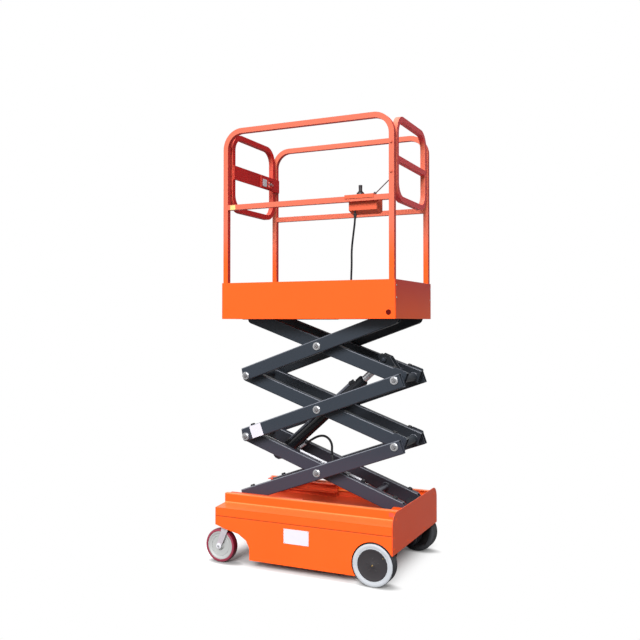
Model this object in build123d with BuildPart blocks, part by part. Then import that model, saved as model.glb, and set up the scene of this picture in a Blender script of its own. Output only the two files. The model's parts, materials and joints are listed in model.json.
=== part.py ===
from build123d import *
import math
import os

os.makedirs("parts", exist_ok=True)

# Linkage, pin to pin, in the rest pose (mm, +X towards the drive wheels, +Z up)
arm_length = 1000.0
rest_deg = 21.18
pivot_x = 528.0
base_z = 352.7
level_count = 3

# Arms: rectangular tube set slightly flatter than its pin line
tube_depth = 78.0
tube_width = 40.0
tube_wall = 4.0
tube_corner_r = 6.0
tube_skew_deg = 1.375
outer_arm_y = 197.0
inner_arm_y = 131.0
cut_past_pin = 36.0
toe_past_pin = 30.0
boss_r = 24.0
pin_r = 15.0
run_fit = 0.05
seat_gap = 0.3
washer_r = 22.5
washer_t = 6.0
nut_t = 5.0
spacer_r = 22.0
cross_tube_r = 24.0
roller_r = 23.0

# Chassis
chassis_past_roller = 96.6
chassis_x1 = 582.5
chassis_y = 399.5
chassis_z0 = 46.0
shoulder_z = 324.0
strip_y = 294.0
strip_z0 = 332.0
strip_z1 = 386.0
strip_lip = 26.0
sheet_t = 4.0
tray_z = 292.0
web_y = 300.0
end_panel_z0 = 174.0
end_panel_z1 = 392.0
end_corner_r = 65.0

# Wheels
drive_x = 471.0
drive_r = 115.0
drive_w = 80.0
drive_disc_r = 84.5
drive_face_y = 407.0
arch_r = 121.0
caster_r = 97.0
caster_w = 50.0
caster_hub_r = 86.5
caster_face_y = 372.0
caster_trail = 40.0
caster_inset = 12.0

# Platform, heights given above its floor
deck_over_pins = 33.4
deck_t = 4.0
toe_past_chassis = 10.0
toe_x1 = 573.0
toe_y = 320.6
toe_drop = 58.0
toe_height = 153.5
toe_t = 1.5
rail_inset = 11.0
rail_x1 = 565.0
rail_y = 318.8
rail_height = 1061.0
mid_height = 598.0
rail_tube = 30.0
rail_corner_r = 120.0
loop_foot = 584.0
loop_head = 1056.0
loop_bar = 814.0
loop_corner_r = 105.0
loop_side_gap = 22.8
gate_inset = 17.0
end_loop_x = 549.0

half_arm = arm_length / 2
rise = arm_length * math.sin(math.radians(rest_deg))
reach = arm_length * math.cos(math.radians(rest_deg))
centre_x = pivot_x - reach / 2
free_x = pivot_x - reach
top_z = base_z + level_count * rise
half_depth = tube_depth / 2
half_width = tube_width / 2
chassis_x0 = free_x - chassis_past_roller
caster_x = chassis_x0 + caster_inset
swivel_x = caster_x + caster_trail
deck_z0 = top_z + deck_over_pins
toe_x0 = chassis_x0 - toe_past_chassis
toe_z0 = deck_z0 - toe_drop
toe_z1 = deck_z0 + toe_height
rail_x0 = toe_x0 + rail_inset
rail_top = deck_z0 + rail_height
rail_mid = deck_z0 + mid_height
loop_z0 = deck_z0 + loop_foot
loop_z1 = deck_z0 + loop_head
loop_mid_z = deck_z0 + loop_bar
post_in = rail_y - rail_tube
loop_half_y = post_in - loop_side_gap
gate_x = rail_x0 + gate_inset
outer_face = outer_arm_y + half_width
inner_face = inner_arm_y + half_width
skew = math.radians(tube_skew_deg)
pin_s = half_arm * math.cos(skew)
pin_t = half_arm * math.sin(skew)


def level_z(level):
    """Height of the pins at the foot of one scissor level."""
    return base_z + (level - 1) * rise


def arm_plane(level, lean, y, turn_deg=0.0):
    """Side plane of an arm: local x climbs the pin line, or a line turned from it, and local y is square to it."""
    c = math.cos(math.radians(rest_deg + turn_deg))
    s = math.sin(math.radians(rest_deg + turn_deg))
    middle = level_z(level) + rise / 2
    return Plane(origin=(centre_x, y, middle), x_dir=(lean * c, 0, s), z_dir=(0, -lean, 0))


def arm_point(level, lean, u, n):
    """World (x, z) of a point given in an arm's own pin line frame."""
    spot = arm_plane(level, lean, 0).from_local_coords(Vector(u, n, 0))
    return (spot.X, spot.Z)


def rod_y(x, z, y0, y1, r):
    """Round bar along Y, added to the part being built."""
    with Locations(Location((x, (y0 + y1) / 2, z), (90, 0, 0))):
        Cylinder(r, abs(y1 - y0))


def bore_y(x, z, y0, y1, r):
    """Round hole along Y, cut from the part being built."""
    with Locations(Location((x, (y0 + y1) / 2, z), (90, 0, 0))):
        Cylinder(r, abs(y1 - y0), mode=Mode.SUBTRACT)


def block(x0, x1, y0, y1, z0, z1, mode=Mode.ADD):
    """Plain block between two corners."""
    with Locations(((x0 + x1) / 2, (y0 + y1) / 2, (z0 + z1) / 2)):
        Box(x1 - x0, abs(y1 - y0), z1 - z0, mode=mode)


def side_plate(points, y0, y1, mode=Mode.ADD):
    """Plate with an outline in X and Z, between two Y faces."""
    with BuildSketch(Plane.XZ.offset(-max(y0, y1))) as plate:
        with BuildLine():
            Polyline(*points, close=True)
        make_face()
    extrude(plate.sketch, amount=abs(y1 - y0), mode=mode)


def cord_radii(points):
    """Bend radius at each inner point of a cord's route."""
    radii = []
    for before, here, after in zip(points, points[1:], points[2:]):
        a = Vector(*here) - Vector(*before)
        b = Vector(*after) - Vector(*here)
        half_turn = math.radians(a.get_angle(b)) / 2
        radii.append(0.45 * min(a.length, b.length) / math.tan(half_turn))
    return radii


def finish(part, name):
    """Label one sub-part and write its file."""
    part.label = name
    export_step(part, f"parts/{name}.step")


# ---- Scissor arms -------------------------------------------------------------
# Local outline along the tube: s from the middle, t from the centre line.
arm_table = (
    # name, level, lean, mid plane y, foot shape, head shape
    ("outer_arm_1", 1, 1, outer_arm_y, "toe", "square"),
    ("inner_arm_1", 1, -1, inner_arm_y, "nose", "square"),
    ("outer_arm_2", 2, 1, outer_arm_y, "toe", "square"),
    ("inner_arm_2", 2, -1, inner_arm_y, "square", "square"),
    ("outer_arm_3", 3, 1, outer_arm_y, "toe", "round"),
    ("inner_arm_3", 3, -1, inner_arm_y, "square", "round"),
)
round_end = half_depth - pin_t
foot_shapes = {
    "toe": ((-pin_s - toe_past_pin, -half_depth), (-pin_s - 18.0, half_depth)),
    "nose": (
        (-pin_s - cut_past_pin, -half_depth),
        (-pin_s - cut_past_pin, 3.0),
        (-pin_s - 25.0, 24.0),
        (-pin_s, half_depth),
    ),
    "square": ((-pin_s - cut_past_pin, -half_depth), (-pin_s - cut_past_pin, half_depth)),
}
head_shapes = {
    "square": ((pin_s + cut_past_pin, half_depth), (pin_s + cut_past_pin, -half_depth)),
    "round": (
        (pin_s + round_end, half_depth),
        (pin_s + round_end, -8.0),
        (pin_s + 6.0, -32.0),
        (pin_s - 8.0, -half_depth),
    ),
}

tie_tube_r = 19.0
tie_from_pin = 185.0

for name, level, lean, mid_y, foot, head in arm_table:
    outline = foot_shapes[foot] + head_shapes[head]
    with BuildPart() as arm:
        for side in (-1, 1):
            with BuildSketch(arm_plane(level, lean, side * mid_y, -tube_skew_deg)) as profile:
                with BuildLine():
                    Polyline(*outline, close=True)
                make_face()
                corners = profile.vertices().sort_by(Axis.X)
                if foot == "toe":
                    fillet(corners[0], radius=18.0)
                if head == "round":
                    top = profile.vertices().sort_by(Axis.X)[-2:].sort_by(Axis.Y)[-1]
                    fillet(top, radius=round_end - 0.2)
            extrude(amount=half_width, both=True)
        long_edges = arm.edges().filter_by(lambda e: e.length > arm_length / 2)
        fillet(long_edges, radius=tube_corner_r)
        for side in (-1, 1):
            with BuildSketch(arm_plane(level, lean, side * mid_y, -tube_skew_deg)):
                Rectangle(arm_length * 1.2, tube_depth - 2 * tube_wall)
            extrude(amount=half_width - tube_wall, both=True, mode=Mode.SUBTRACT)
            plane = arm_plane(level, lean, side * mid_y)
            with BuildSketch(plane):
                with Locations((-half_arm, 0), (0, 0), (half_arm, 0)):
                    Circle(boss_r)
            extrude(amount=half_width, both=True)
            with BuildSketch(plane):
                with Locations((-half_arm, 0), (0, 0), (half_arm, 0)):
                    Circle(pin_r + run_fit)
            extrude(amount=half_width, both=True, mode=Mode.SUBTRACT)
        if foot == "nose":
            tie_x, tie_z = arm_point(level, lean, tie_from_pin - half_arm, 0)
            tie_y = inner_arm_y - half_width + tube_wall / 2
            rod_y(tie_x, tie_z, -tie_y, tie_y, tie_tube_r)
    finish(arm.part, name)

# ---- Pins and cross tubes, each set riding on one pair of inner arms -----------
washer_face = outer_face + seat_gap
pin_table = (
    # name, level, ((x, z of the joint, full-width cross tube), ...)
    ("arm_pins_1", 1, ((centre_x, 0.5, False), (free_x, 1.0, True))),
    ("arm_pins_2", 2, ((pivot_x, 0.0, True), (centre_x, 0.5, False), (free_x, 1.0, True))),
    ("arm_pins_3", 3, ((pivot_x, 0.0, True), (centre_x, 0.5, False))),
)
for name, level, spots in pin_table:
    with BuildPart() as pins:
        for x, share, through in spots:
            z = level_z(level) + share * rise
            inner = inner_arm_y - half_width - seat_gap
            for side in (-1, 1):
                if not through:
                    rod_y(x, z, side * (inner - 7), side * inner, spacer_r)
                rod_y(x, z, side * (inner - 1), side * (washer_face + 1), pin_r)
                spacer_in = inner_face + seat_gap
                spacer_out = outer_face - tube_width - seat_gap
                rod_y(x, z, side * spacer_in, side * spacer_out, spacer_r)
                rod_y(x, z, side * washer_face, side * (washer_face + washer_t), washer_r)
                nut_in = washer_face + washer_t
                rod_y(x, z, side * nut_in, side * (nut_in + nut_t), pin_r + 3)
            if through:
                rod_y(x, z, -inner, inner, cross_tube_r)
    finish(pins.part, name)

# ---- Rollers at the sliding ends -----------------------------------------------
channel_y0 = 222.0
channel_y1 = 266.0
base_roller_y = (channel_y0 + 2.0, channel_y1 - sheet_t - 2.0)
with BuildPart() as base_rollers:
    for side in (-1, 1):
        rod_y(free_x, base_z, side * (outer_face - tube_width - 6), side * base_roller_y[1], pin_r)
        rod_y(free_x, base_z, side * base_roller_y[0], side * base_roller_y[1], roller_r)
        head_in = outer_face - tube_width - seat_gap
        rod_y(free_x, base_z, side * (head_in - 5), side * head_in, spacer_r)
finish(base_rollers.part, "base_rollers")

deck_channel_y = (76.0, 106.0)
deck_roller_y = (82.0, 104.0)
with BuildPart() as deck_rollers:
    for side in (-1, 1):
        rod_y(free_x, top_z, side * deck_roller_y[0], side * (inner_face + 8), pin_r)
        rod_y(free_x, top_z, side * deck_roller_y[0], side * deck_roller_y[1], roller_r)
        cap_in = inner_face + seat_gap
        rod_y(free_x, top_z, side * cap_in, side * (cap_in + 6), spacer_r)
finish(deck_rollers.part, "deck_rollers")

# ---- Lift cylinder -------------------------------------------------------------
foot_u, foot_n = half_arm - 192.0, -36.0
eye_u, eye_n = 156.0 - half_arm, 51.0
foot_x, foot_z = arm_point(1, -1, foot_u, foot_n)
eye_x, eye_z = arm_point(3, -1, eye_u, eye_n)
cyl_length = math.hypot(eye_x - foot_x, eye_z - foot_z)
cyl_dir = ((eye_x - foot_x) / cyl_length, 0, (eye_z - foot_z) / cyl_length)
cyl_plane = Plane(origin=(foot_x, 0, foot_z), x_dir=(0, 1, 0), z_dir=cyl_dir)
barrel_r = 29.5
rod_show = 188.0
barrel_end = cyl_length - rod_show
barrel_bore_r = 25.0
gland_length = 30.0
rod_r = 20.5
rod_tail = 215.0
piston_t = 10.0
foot_bar_r = 20.0
lug_y = 110.7
lug_t = 8.0
eye_plate_y = 23.0
eye_plate_t = 8.0

port_run = 72.4
port_out = 39.0
feed_r = 8.5
feed_out = barrel_r + feed_r + 1.0
feed_from_foot = 24.0
feed_from_end = 48.0
feed_block = 18.0
hose_lead = (85.0, 60.0)
port_x = foot_x + port_run * cyl_dir[0] + port_out * cyl_dir[2]
port_z = foot_z + port_run * cyl_dir[2] - port_out * cyl_dir[0]
port_plane = Plane(origin=(port_x, 0, port_z), x_dir=(0, 1, 0), z_dir=(cyl_dir[2], 0, -cyl_dir[0]))
elbow_plane = Plane(origin=(port_x, 0, port_z), x_dir=(0, 1, 0), z_dir=(hose_lead[0], 0, hose_lead[1]))
with BuildPart() as barrel:
    rod_y(foot_x, foot_z, -26, 26, 34.0)
    with BuildSketch(port_plane):
        Circle(8)
    extrude(amount=-12)
    with BuildSketch(elbow_plane.offset(-10)):
        Circle(10)
    extrude(amount=22)
    with BuildSketch(cyl_plane.offset(24.0)):
        Circle(barrel_r)
    extrude(amount=barrel_end - 24.0)
    with BuildSketch(cyl_plane.offset(barrel_end - gland_length)):
        Circle(barrel_r + 2.5)
    extrude(amount=gland_length)
    with BuildSketch(cyl_plane.offset(feed_from_foot)):
        with Locations((0, feed_out)):
            Circle(feed_r)
    extrude(amount=barrel_end - feed_from_end - feed_from_foot)
    for start in (feed_from_foot, barrel_end - feed_from_end - feed_block):
        with BuildSketch(cyl_plane.offset(start)):
            with Locations((0, (barrel_r + feed_out + feed_r) / 2 - 1.5)):
                Rectangle(feed_block, feed_out + feed_r - barrel_r + 1.0)
        extrude(amount=feed_block)
    with BuildSketch(cyl_plane.offset(46.0)):
        Circle(barrel_bore_r)
    extrude(amount=barrel_end - gland_length - 46.0, mode=Mode.SUBTRACT)
    with BuildSketch(cyl_plane.offset(barrel_end - gland_length - 1)):
        Circle(rod_r + run_fit)
    extrude(amount=gland_length + 2, mode=Mode.SUBTRACT)
    bore_y(foot_x, foot_z, -30, 30, foot_bar_r + run_fit)
finish(barrel.part, "cylinder_barrel")

with BuildPart() as rod:
    with BuildSketch(cyl_plane.offset(rod_tail)):
        Circle(barrel_bore_r - run_fit)
    extrude(amount=piston_t)
    with BuildSketch(cyl_plane.offset(rod_tail + piston_t)):
        Circle(rod_r)
    extrude(amount=cyl_length - rod_tail - piston_t - 10)
    rod_y(eye_x, eye_z, -17, 17, 22.0)
finish(rod.part, "cylinder_rod")

# Outlines about the cylinder's own pins, in the frame of the arm each one is welded to.
lug_outline = ((48, 16), (28, -28), (12, -36), (-10, -36), (-28, -24), (-50, 16), (-40, 36), (40, 36))
with BuildPart() as foot_bracket:
    for side in (-1, 1):
        with BuildSketch(arm_plane(1, -1, side * (lug_y - lug_t / 2))):
            with BuildLine():
                Polyline(*[(foot_u + u, foot_n + n) for u, n in lug_outline], close=True)
            make_face()
        extrude(amount=lug_t / 2, both=True)
    rod_y(foot_x, foot_z, -lug_y, lug_y, foot_bar_r)
finish(foot_bracket.part, "cylinder_foot_bracket")

eye_outline = ((44, 4), (26, 29), (-24, 29), (-108, -31), (-86, -69), (-42, -69))
brace_u = eye_u - 64.0
with BuildPart() as eye_bracket:
    for side in (-1, 1):
        with BuildSketch(arm_plane(3, -1, side * (eye_plate_y + eye_plate_t / 2))):
            with BuildLine():
                Polyline(*[(eye_u + u, eye_n + n) for u, n in eye_outline], close=True)
            make_face()
        extrude(amount=eye_plate_t / 2, both=True)
        rod_y(eye_x, eye_z, side * eye_plate_y, side * (eye_plate_y + eye_plate_t + 10), 14.0)
    brace_x, brace_z = arm_point(3, -1, brace_u, 0)
    rod_y(brace_x, brace_z, -lug_y, lug_y, cross_tube_r)
finish(eye_bracket.part, "cylinder_eye_bracket")

pipe_r = 6.5
pipe_in = 7.0
pipe_plane = arm_plane(1, -1, -(inner_arm_y - half_width + pipe_in), -tube_skew_deg)
pipe_n = half_depth + seat_gap + pipe_r
pipe_foot = pipe_plane.from_local_coords(Vector(250 - half_arm, pipe_n, 0))
with BuildPart() as pipe:
    with BuildSketch(Plane(origin=pipe_foot, x_dir=pipe_plane.z_dir, z_dir=pipe_plane.x_dir)):
        Circle(pipe_r)
    extrude(amount=arm_length * 0.447)
finish(pipe.part, "hydraulic_pipe")

# ---- Chassis -------------------------------------------------------------------
lip_y = strip_y - strip_lip
section = (
    (chassis_y, chassis_z0),
    (chassis_y, shoulder_z),
    (strip_y, strip_z0),
    (strip_y, strip_z1),
    (lip_y, strip_z1),
    (lip_y, strip_z1 - sheet_t),
    (strip_y - sheet_t, strip_z1 - sheet_t),
    (strip_y - sheet_t, strip_z0 - sheet_t),
    (chassis_y - sheet_t, shoulder_z - sheet_t),
    (chassis_y - sheet_t, chassis_z0),
)
caster_cut = ((-19, 0), (-19, 226), (5, 224), (53, 209), (153, 186), (205, 153), (225, 115), (226, 0))
side_x1 = chassis_x1 - sheet_t - seat_gap
with BuildPart() as sides:
    for side in (-1, 1):
        with BuildSketch(Plane.YZ.offset(chassis_x0)):
            with BuildLine():
                Polyline(*[(side * y, z) for y, z in section], close=True)
            make_face()
        extrude(amount=side_x1 - chassis_x0)
    side_plate([(chassis_x0 + x, z) for x, z in caster_cut], -chassis_y - 50, chassis_y + 50, mode=Mode.SUBTRACT)
    bore_y(drive_x, drive_r, -chassis_y - 50, chassis_y + 50, arch_r)
    arch_rear = drive_x - math.sqrt(arch_r**2 - (drive_r - chassis_z0) ** 2)
    beyond = chassis_x1 + 18
    wedge = ((arch_rear, 0), (arch_rear, chassis_z0 + 10), (drive_x, drive_r), (beyond, drive_r + 75), (beyond, 0))
    side_plate(wedge, -chassis_y - 50, chassis_y + 50, mode=Mode.SUBTRACT)
finish(sides.part, "chassis_sides")

web_outline = (
    (chassis_x0 + 6, shoulder_z),
    (side_x1, shoulder_z),
    (side_x1, 180),
    (545, 62),
    (345, 50.3),
    (chassis_x0 + 235, 50.3),
    (chassis_x0 + 201, 212),
    (chassis_x0 + 6, 232),
)
with BuildPart() as tray:
    block(chassis_x0 + 6, side_x1, -web_y, web_y, tray_z, tray_z + sheet_t)
    for side in (-1, 1):
        side_plate(web_outline, side * web_y, side * (web_y + sheet_t))
    bore_y(drive_x, drive_r, -320, 320, pin_r + seat_gap)
finish(tray.part, "chassis_tray")

floor_x0 = chassis_x0 + 230.0
floor_x1 = 341.0
with BuildPart() as floor:
    block(floor_x0, floor_x1, -(chassis_y - sheet_t - seat_gap), chassis_y - sheet_t - seat_gap, chassis_z0, 50.0)
    for x in (floor_x0, floor_x1 - sheet_t):
        block(x, x + sheet_t, -(web_y - seat_gap), web_y - seat_gap, 50.0, tray_z - seat_gap)
finish(floor.part, "chassis_floor")

with BuildPart() as end_panels:
    with BuildSketch(Plane.YZ.offset(chassis_x1 - sheet_t)) as drive_end:
        with Locations((0, (end_panel_z0 + end_panel_z1) / 2)):
            Rectangle(2 * chassis_y, end_panel_z1 - end_panel_z0)
        fillet(drive_end.vertices().group_by(Axis.Y)[-1], radius=end_corner_r)
    extrude(amount=sheet_t)
    inner_y = chassis_y - sheet_t - seat_gap
    caster_end = ((inner_y, 228), (inner_y, shoulder_z - sheet_t - 1))
    with BuildSketch(Plane.YZ.offset(chassis_x0)):
        with BuildLine():
            Polyline(*caster_end, *[(-y, z) for y, z in reversed(caster_end)], close=True)
        make_face()
    extrude(amount=sheet_t)
finish(end_panels.part, "end_panels")

channel_x1 = chassis_x0 + 481.0
channel_z0 = base_z - roller_r - 0.6
channel_z1 = base_z + roller_r + 0.6
with BuildPart() as base_channels:
    for side in (-1, 1):
        a = side * channel_y0
        b = side * channel_y1
        block(chassis_x0 + 6, channel_x1, min(a, b), max(a, b), tray_z + sheet_t + seat_gap, channel_z1 + sheet_t)
        c = side * (channel_y1 - sheet_t)
        d = side * (channel_y0 - 1)
        block(chassis_x0 + 5, channel_x1 + 1, min(c, d), max(c, d), channel_z0, channel_z1, mode=Mode.SUBTRACT)
        block(chassis_x0 + 5, channel_x1 + 1, min(c, d), max(c, d), tray_z, channel_z0 - sheet_t, mode=Mode.SUBTRACT)
finish(base_channels.part, "base_channels")

bracket_z0 = tray_z + sheet_t + seat_gap
bracket_outline = ((488, bracket_z0), (574, bracket_z0), (574, 374), (502, 374), (491, 361))
with BuildPart() as pivot_brackets:
    for side in (-1, 1):
        side_plate(bracket_outline, side * 156, side * 166)
        side_plate(bracket_outline, side * 96, side * 106)
        rod_y(pivot_x, base_z, side * 92, side * 172, pin_r)
finish(pivot_brackets.part, "pivot_brackets")

with BuildPart() as motors:
    for side in (-1, 1):
        rod_y(drive_x, drive_r, side * 180, side * (web_y - seat_gap), 50.0)
        rod_y(drive_x, drive_r, side * 290, side * 366, pin_r)
finish(motors.part, "drive_motors")

crown_z = 199.5
crown_t = 6.0
king_r = 10.0
caster_y = caster_face_y - caster_w / 2
with BuildPart() as caster_plates:
    for side in (-1, 1):
        y = side * caster_y
        block(chassis_x0 + 10, chassis_x0 + 121, min(side * 304.3, side * 395.2), max(side * 304.3, side * 395.2), 226, 230)
        block(swivel_x - 36, swivel_x + 36, y - 36, y + 36, 219, 226)
        with Locations((swivel_x, y, (crown_z + crown_t + seat_gap + 219) / 2)):
            Cylinder(24, 219 - crown_z - crown_t - seat_gap)
        with Locations((swivel_x, y, (196 + 219) / 2)):
            Cylinder(king_r, 219 - 196)
finish(caster_plates.part, "caster_plates")

for side, label in ((-1, "right"), (1, "left")):
    y0 = side * (drive_face_y - drive_w)
    y1 = side * drive_face_y
    with BuildPart() as tyre:
        rod_y(drive_x, drive_r, y0, y1, drive_r)
        fillet(tyre.edges().filter_by(GeomType.CIRCLE), radius=5.0)
        bore_y(drive_x, drive_r, y0, y1, drive_disc_r)
    finish(tyre.part, f"drive_tyre_{label}")
    with BuildPart() as hub:
        rod_y(drive_x, drive_r, y0 + side * 3, y1 - side * 3, drive_disc_r - seat_gap)
        bore_y(drive_x, drive_r, y0, side * 367, pin_r + run_fit)
        rod_y(drive_x, drive_r, y1 - side * 3, y1 - side * 1, 14.0)
    finish(hub.part, f"drive_hub_{label}")

    y = side * caster_y
    with BuildPart() as fork:
        with BuildSketch(Plane.XY.offset(crown_z)):
            with Locations((swivel_x, y)):
                Circle(36)
                Rectangle(48, 65)
        extrude(amount=crown_t)
        for flank in (-1, 1):
            leg = ((swivel_x + 23, crown_z + 2), (swivel_x - 23, crown_z + 2), (caster_x - 13, 108),
                   (caster_x - 9, 90), (caster_x, 84), (caster_x + 10, 87), (caster_x + 15, 98))
            inner = y + flank * 28.5
            side_plate(leg, inner, inner + flank * 4)
        rod_y(caster_x, caster_r, y - 34, y + 34, 6.0)
        rod_y(caster_x, caster_r, y - 38, y - 32, 10.0)
        rod_y(caster_x, caster_r, y + 32, y + 38, 10.0)
        with Locations((swivel_x, y, crown_z + crown_t / 2)):
            Cylinder(king_r + run_fit, crown_t + 20, mode=Mode.SUBTRACT)
    finish(fork.part, f"caster_fork_{label}")
    with BuildPart() as caster_tyre:
        rod_y(caster_x, caster_r, y - caster_w / 2, y + caster_w / 2, caster_r)
        fillet(caster_tyre.edges().filter_by(GeomType.CIRCLE), radius=8.0)
        bore_y(caster_x, caster_r, y - caster_w, y + caster_w, caster_hub_r)
    finish(caster_tyre.part, f"caster_tyre_{label}")
    with BuildPart() as caster_hub:
        rod_y(caster_x, caster_r, y - 21, y + 21, caster_hub_r - seat_gap)
        rod_y(caster_x, caster_r, y - 27, y + 27, 17.0)
        bore_y(caster_x, caster_r, y - 30, y + 30, 6.0 + run_fit)
    finish(caster_hub.part, f"caster_hub_{label}")

# ---- Platform ------------------------------------------------------------------
board_in = toe_y - toe_t - seat_gap
with BuildPart() as deck:
    with BuildSketch(Plane.XY.offset(deck_z0)):
        with Locations(((toe_x0 + toe_x1) / 2, 0)):
            RectangleRounded(toe_x1 - toe_x0 - 2 * toe_t - 2 * seat_gap, 2 * board_in, 8)
    extrude(amount=deck_t)
    post_x = (rail_x0 + rail_tube / 2, rail_x1 - rail_tube / 2)
    for x in post_x:
        for side in (-1, 1):
            y = side * (rail_y - rail_tube / 2)
            hole = rail_tube / 2 + seat_gap
            block(x - hole, x + hole, y - hole, y + hole + 5, deck_z0 - 1, deck_z0 + deck_t + 1, mode=Mode.SUBTRACT)
finish(deck.part, "platform_deck")

with BuildPart() as toe_board:
    with BuildSketch(Plane.XY.offset(toe_z0)):
        with Locations(((toe_x0 + toe_x1) / 2, 0)):
            RectangleRounded(toe_x1 - toe_x0, 2 * toe_y, 8)
            RectangleRounded(toe_x1 - toe_x0 - 2 * toe_t, 2 * (toe_y - toe_t), 8 - toe_t, mode=Mode.SUBTRACT)
    extrude(amount=toe_z1 - toe_z0)
    for side in (-1, 1):
        a = side * (toe_y - 12)
        b = side * (toe_y - toe_t / 2)
        block(toe_x0 + 10, toe_x1 - 10, min(a, b), max(a, b), toe_z0, toe_z0 + 2)
    bore_y(toe_x1 - 40, deck_z0 - 23, -(toe_y + 9), toe_y + 9, 13.0)
finish(toe_board.part, "toe_board")

underframe_x1 = toe_x0 + 567.0
deck_channel_z0 = top_z - roller_r - 0.6
deck_channel_z1 = top_z + roller_r + 0.6
hanger_outline = (
    (496, deck_z0 - seat_gap),
    (562, deck_z0 - seat_gap),
    (556, top_z - 12),
    (543, top_z - 24),
    (513, top_z - 24),
    (500, top_z - 12),
)
with BuildPart() as underframe:
    for side in (-1, 1):
        a = side * deck_channel_y[0]
        b = side * deck_channel_y[1]
        block(toe_x0 + 17, underframe_x1, min(a, b), max(a, b), deck_channel_z0 - sheet_t, deck_z0 - seat_gap)
        c = side * (deck_channel_y[0] + sheet_t)
        d = side * (deck_channel_y[1] + 1)
        block(toe_x0 + 16, underframe_x1 + 1, min(c, d), max(c, d), deck_channel_z0, deck_channel_z1, mode=Mode.SUBTRACT)
        side_plate(hanger_outline, side * (outer_face + 5), side * (outer_face + 13))
        side_plate(hanger_outline, side * (outer_face - tube_width - 13), side * (outer_face - tube_width - 5))
        rod_y(pivot_x, top_z, side * (outer_face - tube_width - 15), side * (outer_face + 15), pin_r)
finish(underframe.part, "deck_underframe")

post_foot = toe_z0 + 14
with BuildPart() as rails:
    for side in (-1, 1):
        with BuildSketch(Plane.XZ.offset(-side * (rail_y - rail_tube / 2))) as frame:
            width = rail_x1 - rail_x0
            with Locations(((rail_x0 + rail_x1) / 2, (post_foot + rail_top) / 2)):
                Rectangle(width, rail_top - post_foot)
            fillet(frame.vertices().group_by(Axis.Y)[-1], radius=rail_corner_r)
            with BuildSketch(mode=Mode.SUBTRACT) as opening:
                with Locations(((rail_x0 + rail_x1) / 2, (post_foot - rail_tube + rail_top) / 2 - rail_tube / 2)):
                    Rectangle(width - 2 * rail_tube, rail_top - post_foot)
                fillet(opening.vertices().group_by(Axis.Y)[-1], radius=rail_corner_r - rail_tube)
            with Locations(((rail_x0 + rail_x1) / 2, rail_mid)):
                Rectangle(width - rail_tube, rail_tube)
        extrude(amount=rail_tube / 2, both=True)
finish(rails.part, "guard_rails")

loop_size = (2 * loop_half_y, loop_z1 - loop_z0)
loop_hole = (loop_size[0] - 2 * rail_tube, loop_size[1] - 2 * rail_tube)
loop_centre = (0, (loop_z0 + loop_z1) / 2)
with BuildPart() as end_loop:
    with BuildSketch(Plane.YZ.offset(end_loop_x)):
        with Locations(loop_centre):
            RectangleRounded(*loop_size, loop_corner_r)
            RectangleRounded(*loop_hole, loop_corner_r - rail_tube, mode=Mode.SUBTRACT)
        with Locations((0, loop_mid_z)):
            Rectangle(2 * loop_half_y - rail_tube, rail_tube)
    extrude(amount=rail_tube / 2, both=True)
    for side in (-1, 1):
        for z in (loop_z0 + 148, loop_z1 - 166):
            a = side * (loop_half_y - 4)
            b = side * (post_in - seat_gap)
            block(end_loop_x - 9, end_loop_x + 9, min(a, b), max(a, b), z - 9, z + 9)
finish(end_loop.part, "end_loop")

hinge_r = 10.7
hinge_y = -(post_in - seat_gap - hinge_r)
plate_t = 6.0
with BuildPart() as gate:
    with BuildSketch(Plane.YZ.offset(gate_x)):
        with Locations(loop_centre):
            RectangleRounded(*loop_size, loop_corner_r)
            RectangleRounded(*loop_hole, loop_corner_r - rail_tube, mode=Mode.SUBTRACT)
    extrude(amount=rail_tube / 2, both=True)
    for z in (loop_z0 + 116, loop_z1 - 106):
        block(gate_x - 6, gate_x + 6, hinge_y, -(loop_half_y - 4), z - 16, z + 16)
        with Locations((gate_x, hinge_y, z)):
            Cylinder(hinge_r, 32)
finish(gate.part, "gate_loop")

with BuildPart() as gate_plate:
    face = gate_x + rail_tube / 2 + seat_gap
    block(face, face + plate_t, -(loop_half_y - 6), rail_y - 7, loop_mid_z - 39, loop_mid_z + 45)
    block(face + plate_t, face + plate_t + 6, 60, 200, loop_mid_z - 34, loop_mid_z + 40)
    block(face - 1, face + plate_t + 8, 150, 192, loop_mid_z - 22, loop_mid_z + 18, mode=Mode.SUBTRACT)
finish(gate_plate.part, "gate_plate")

box_x0 = 290.0
box_x1 = 454.0
box_y0 = -(post_in - seat_gap)
box_y1 = box_y0 + 91.5
hook_z = rail_mid + rail_tube / 2 + seat_gap
box_z0 = hook_z - 93.3
with BuildPart() as control_box:
    with BuildSketch(Plane.YZ.offset(box_x0)):
        with BuildLine():
            Polyline(
                (box_y0, hook_z),
                (box_y0, box_z0 + 18),
                (box_y1 - 30, box_z0),
                (box_y1, box_z0 + 14),
                (box_y1, hook_z),
                close=True,
            )
        make_face()
    extrude(amount=box_x1 - box_x0)
    block(box_x0 - 12, box_x1 - 6, -(rail_y + 4), box_y1, hook_z, hook_z + 6)
    block(box_x0 - 12, box_x1 - 6, -(rail_y + 4), -(rail_y + seat_gap), hook_z - 14, hook_z + 6)
finish(control_box.part, "control_box")

stick_x = box_x0 + 59.0
stick_y = box_y0 + 26.5
with BuildPart() as joystick:
    with Locations((stick_x, stick_y, hook_z + 6 + seat_gap + 8)):
        Cone(22.5, 12, 16)
    with Locations((stick_x, stick_y, hook_z + 42)):
        Cylinder(7, 40)
    with Locations((stick_x, stick_y, hook_z + 54)):
        Sphere(12)
finish(joystick.part, "joystick")

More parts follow.
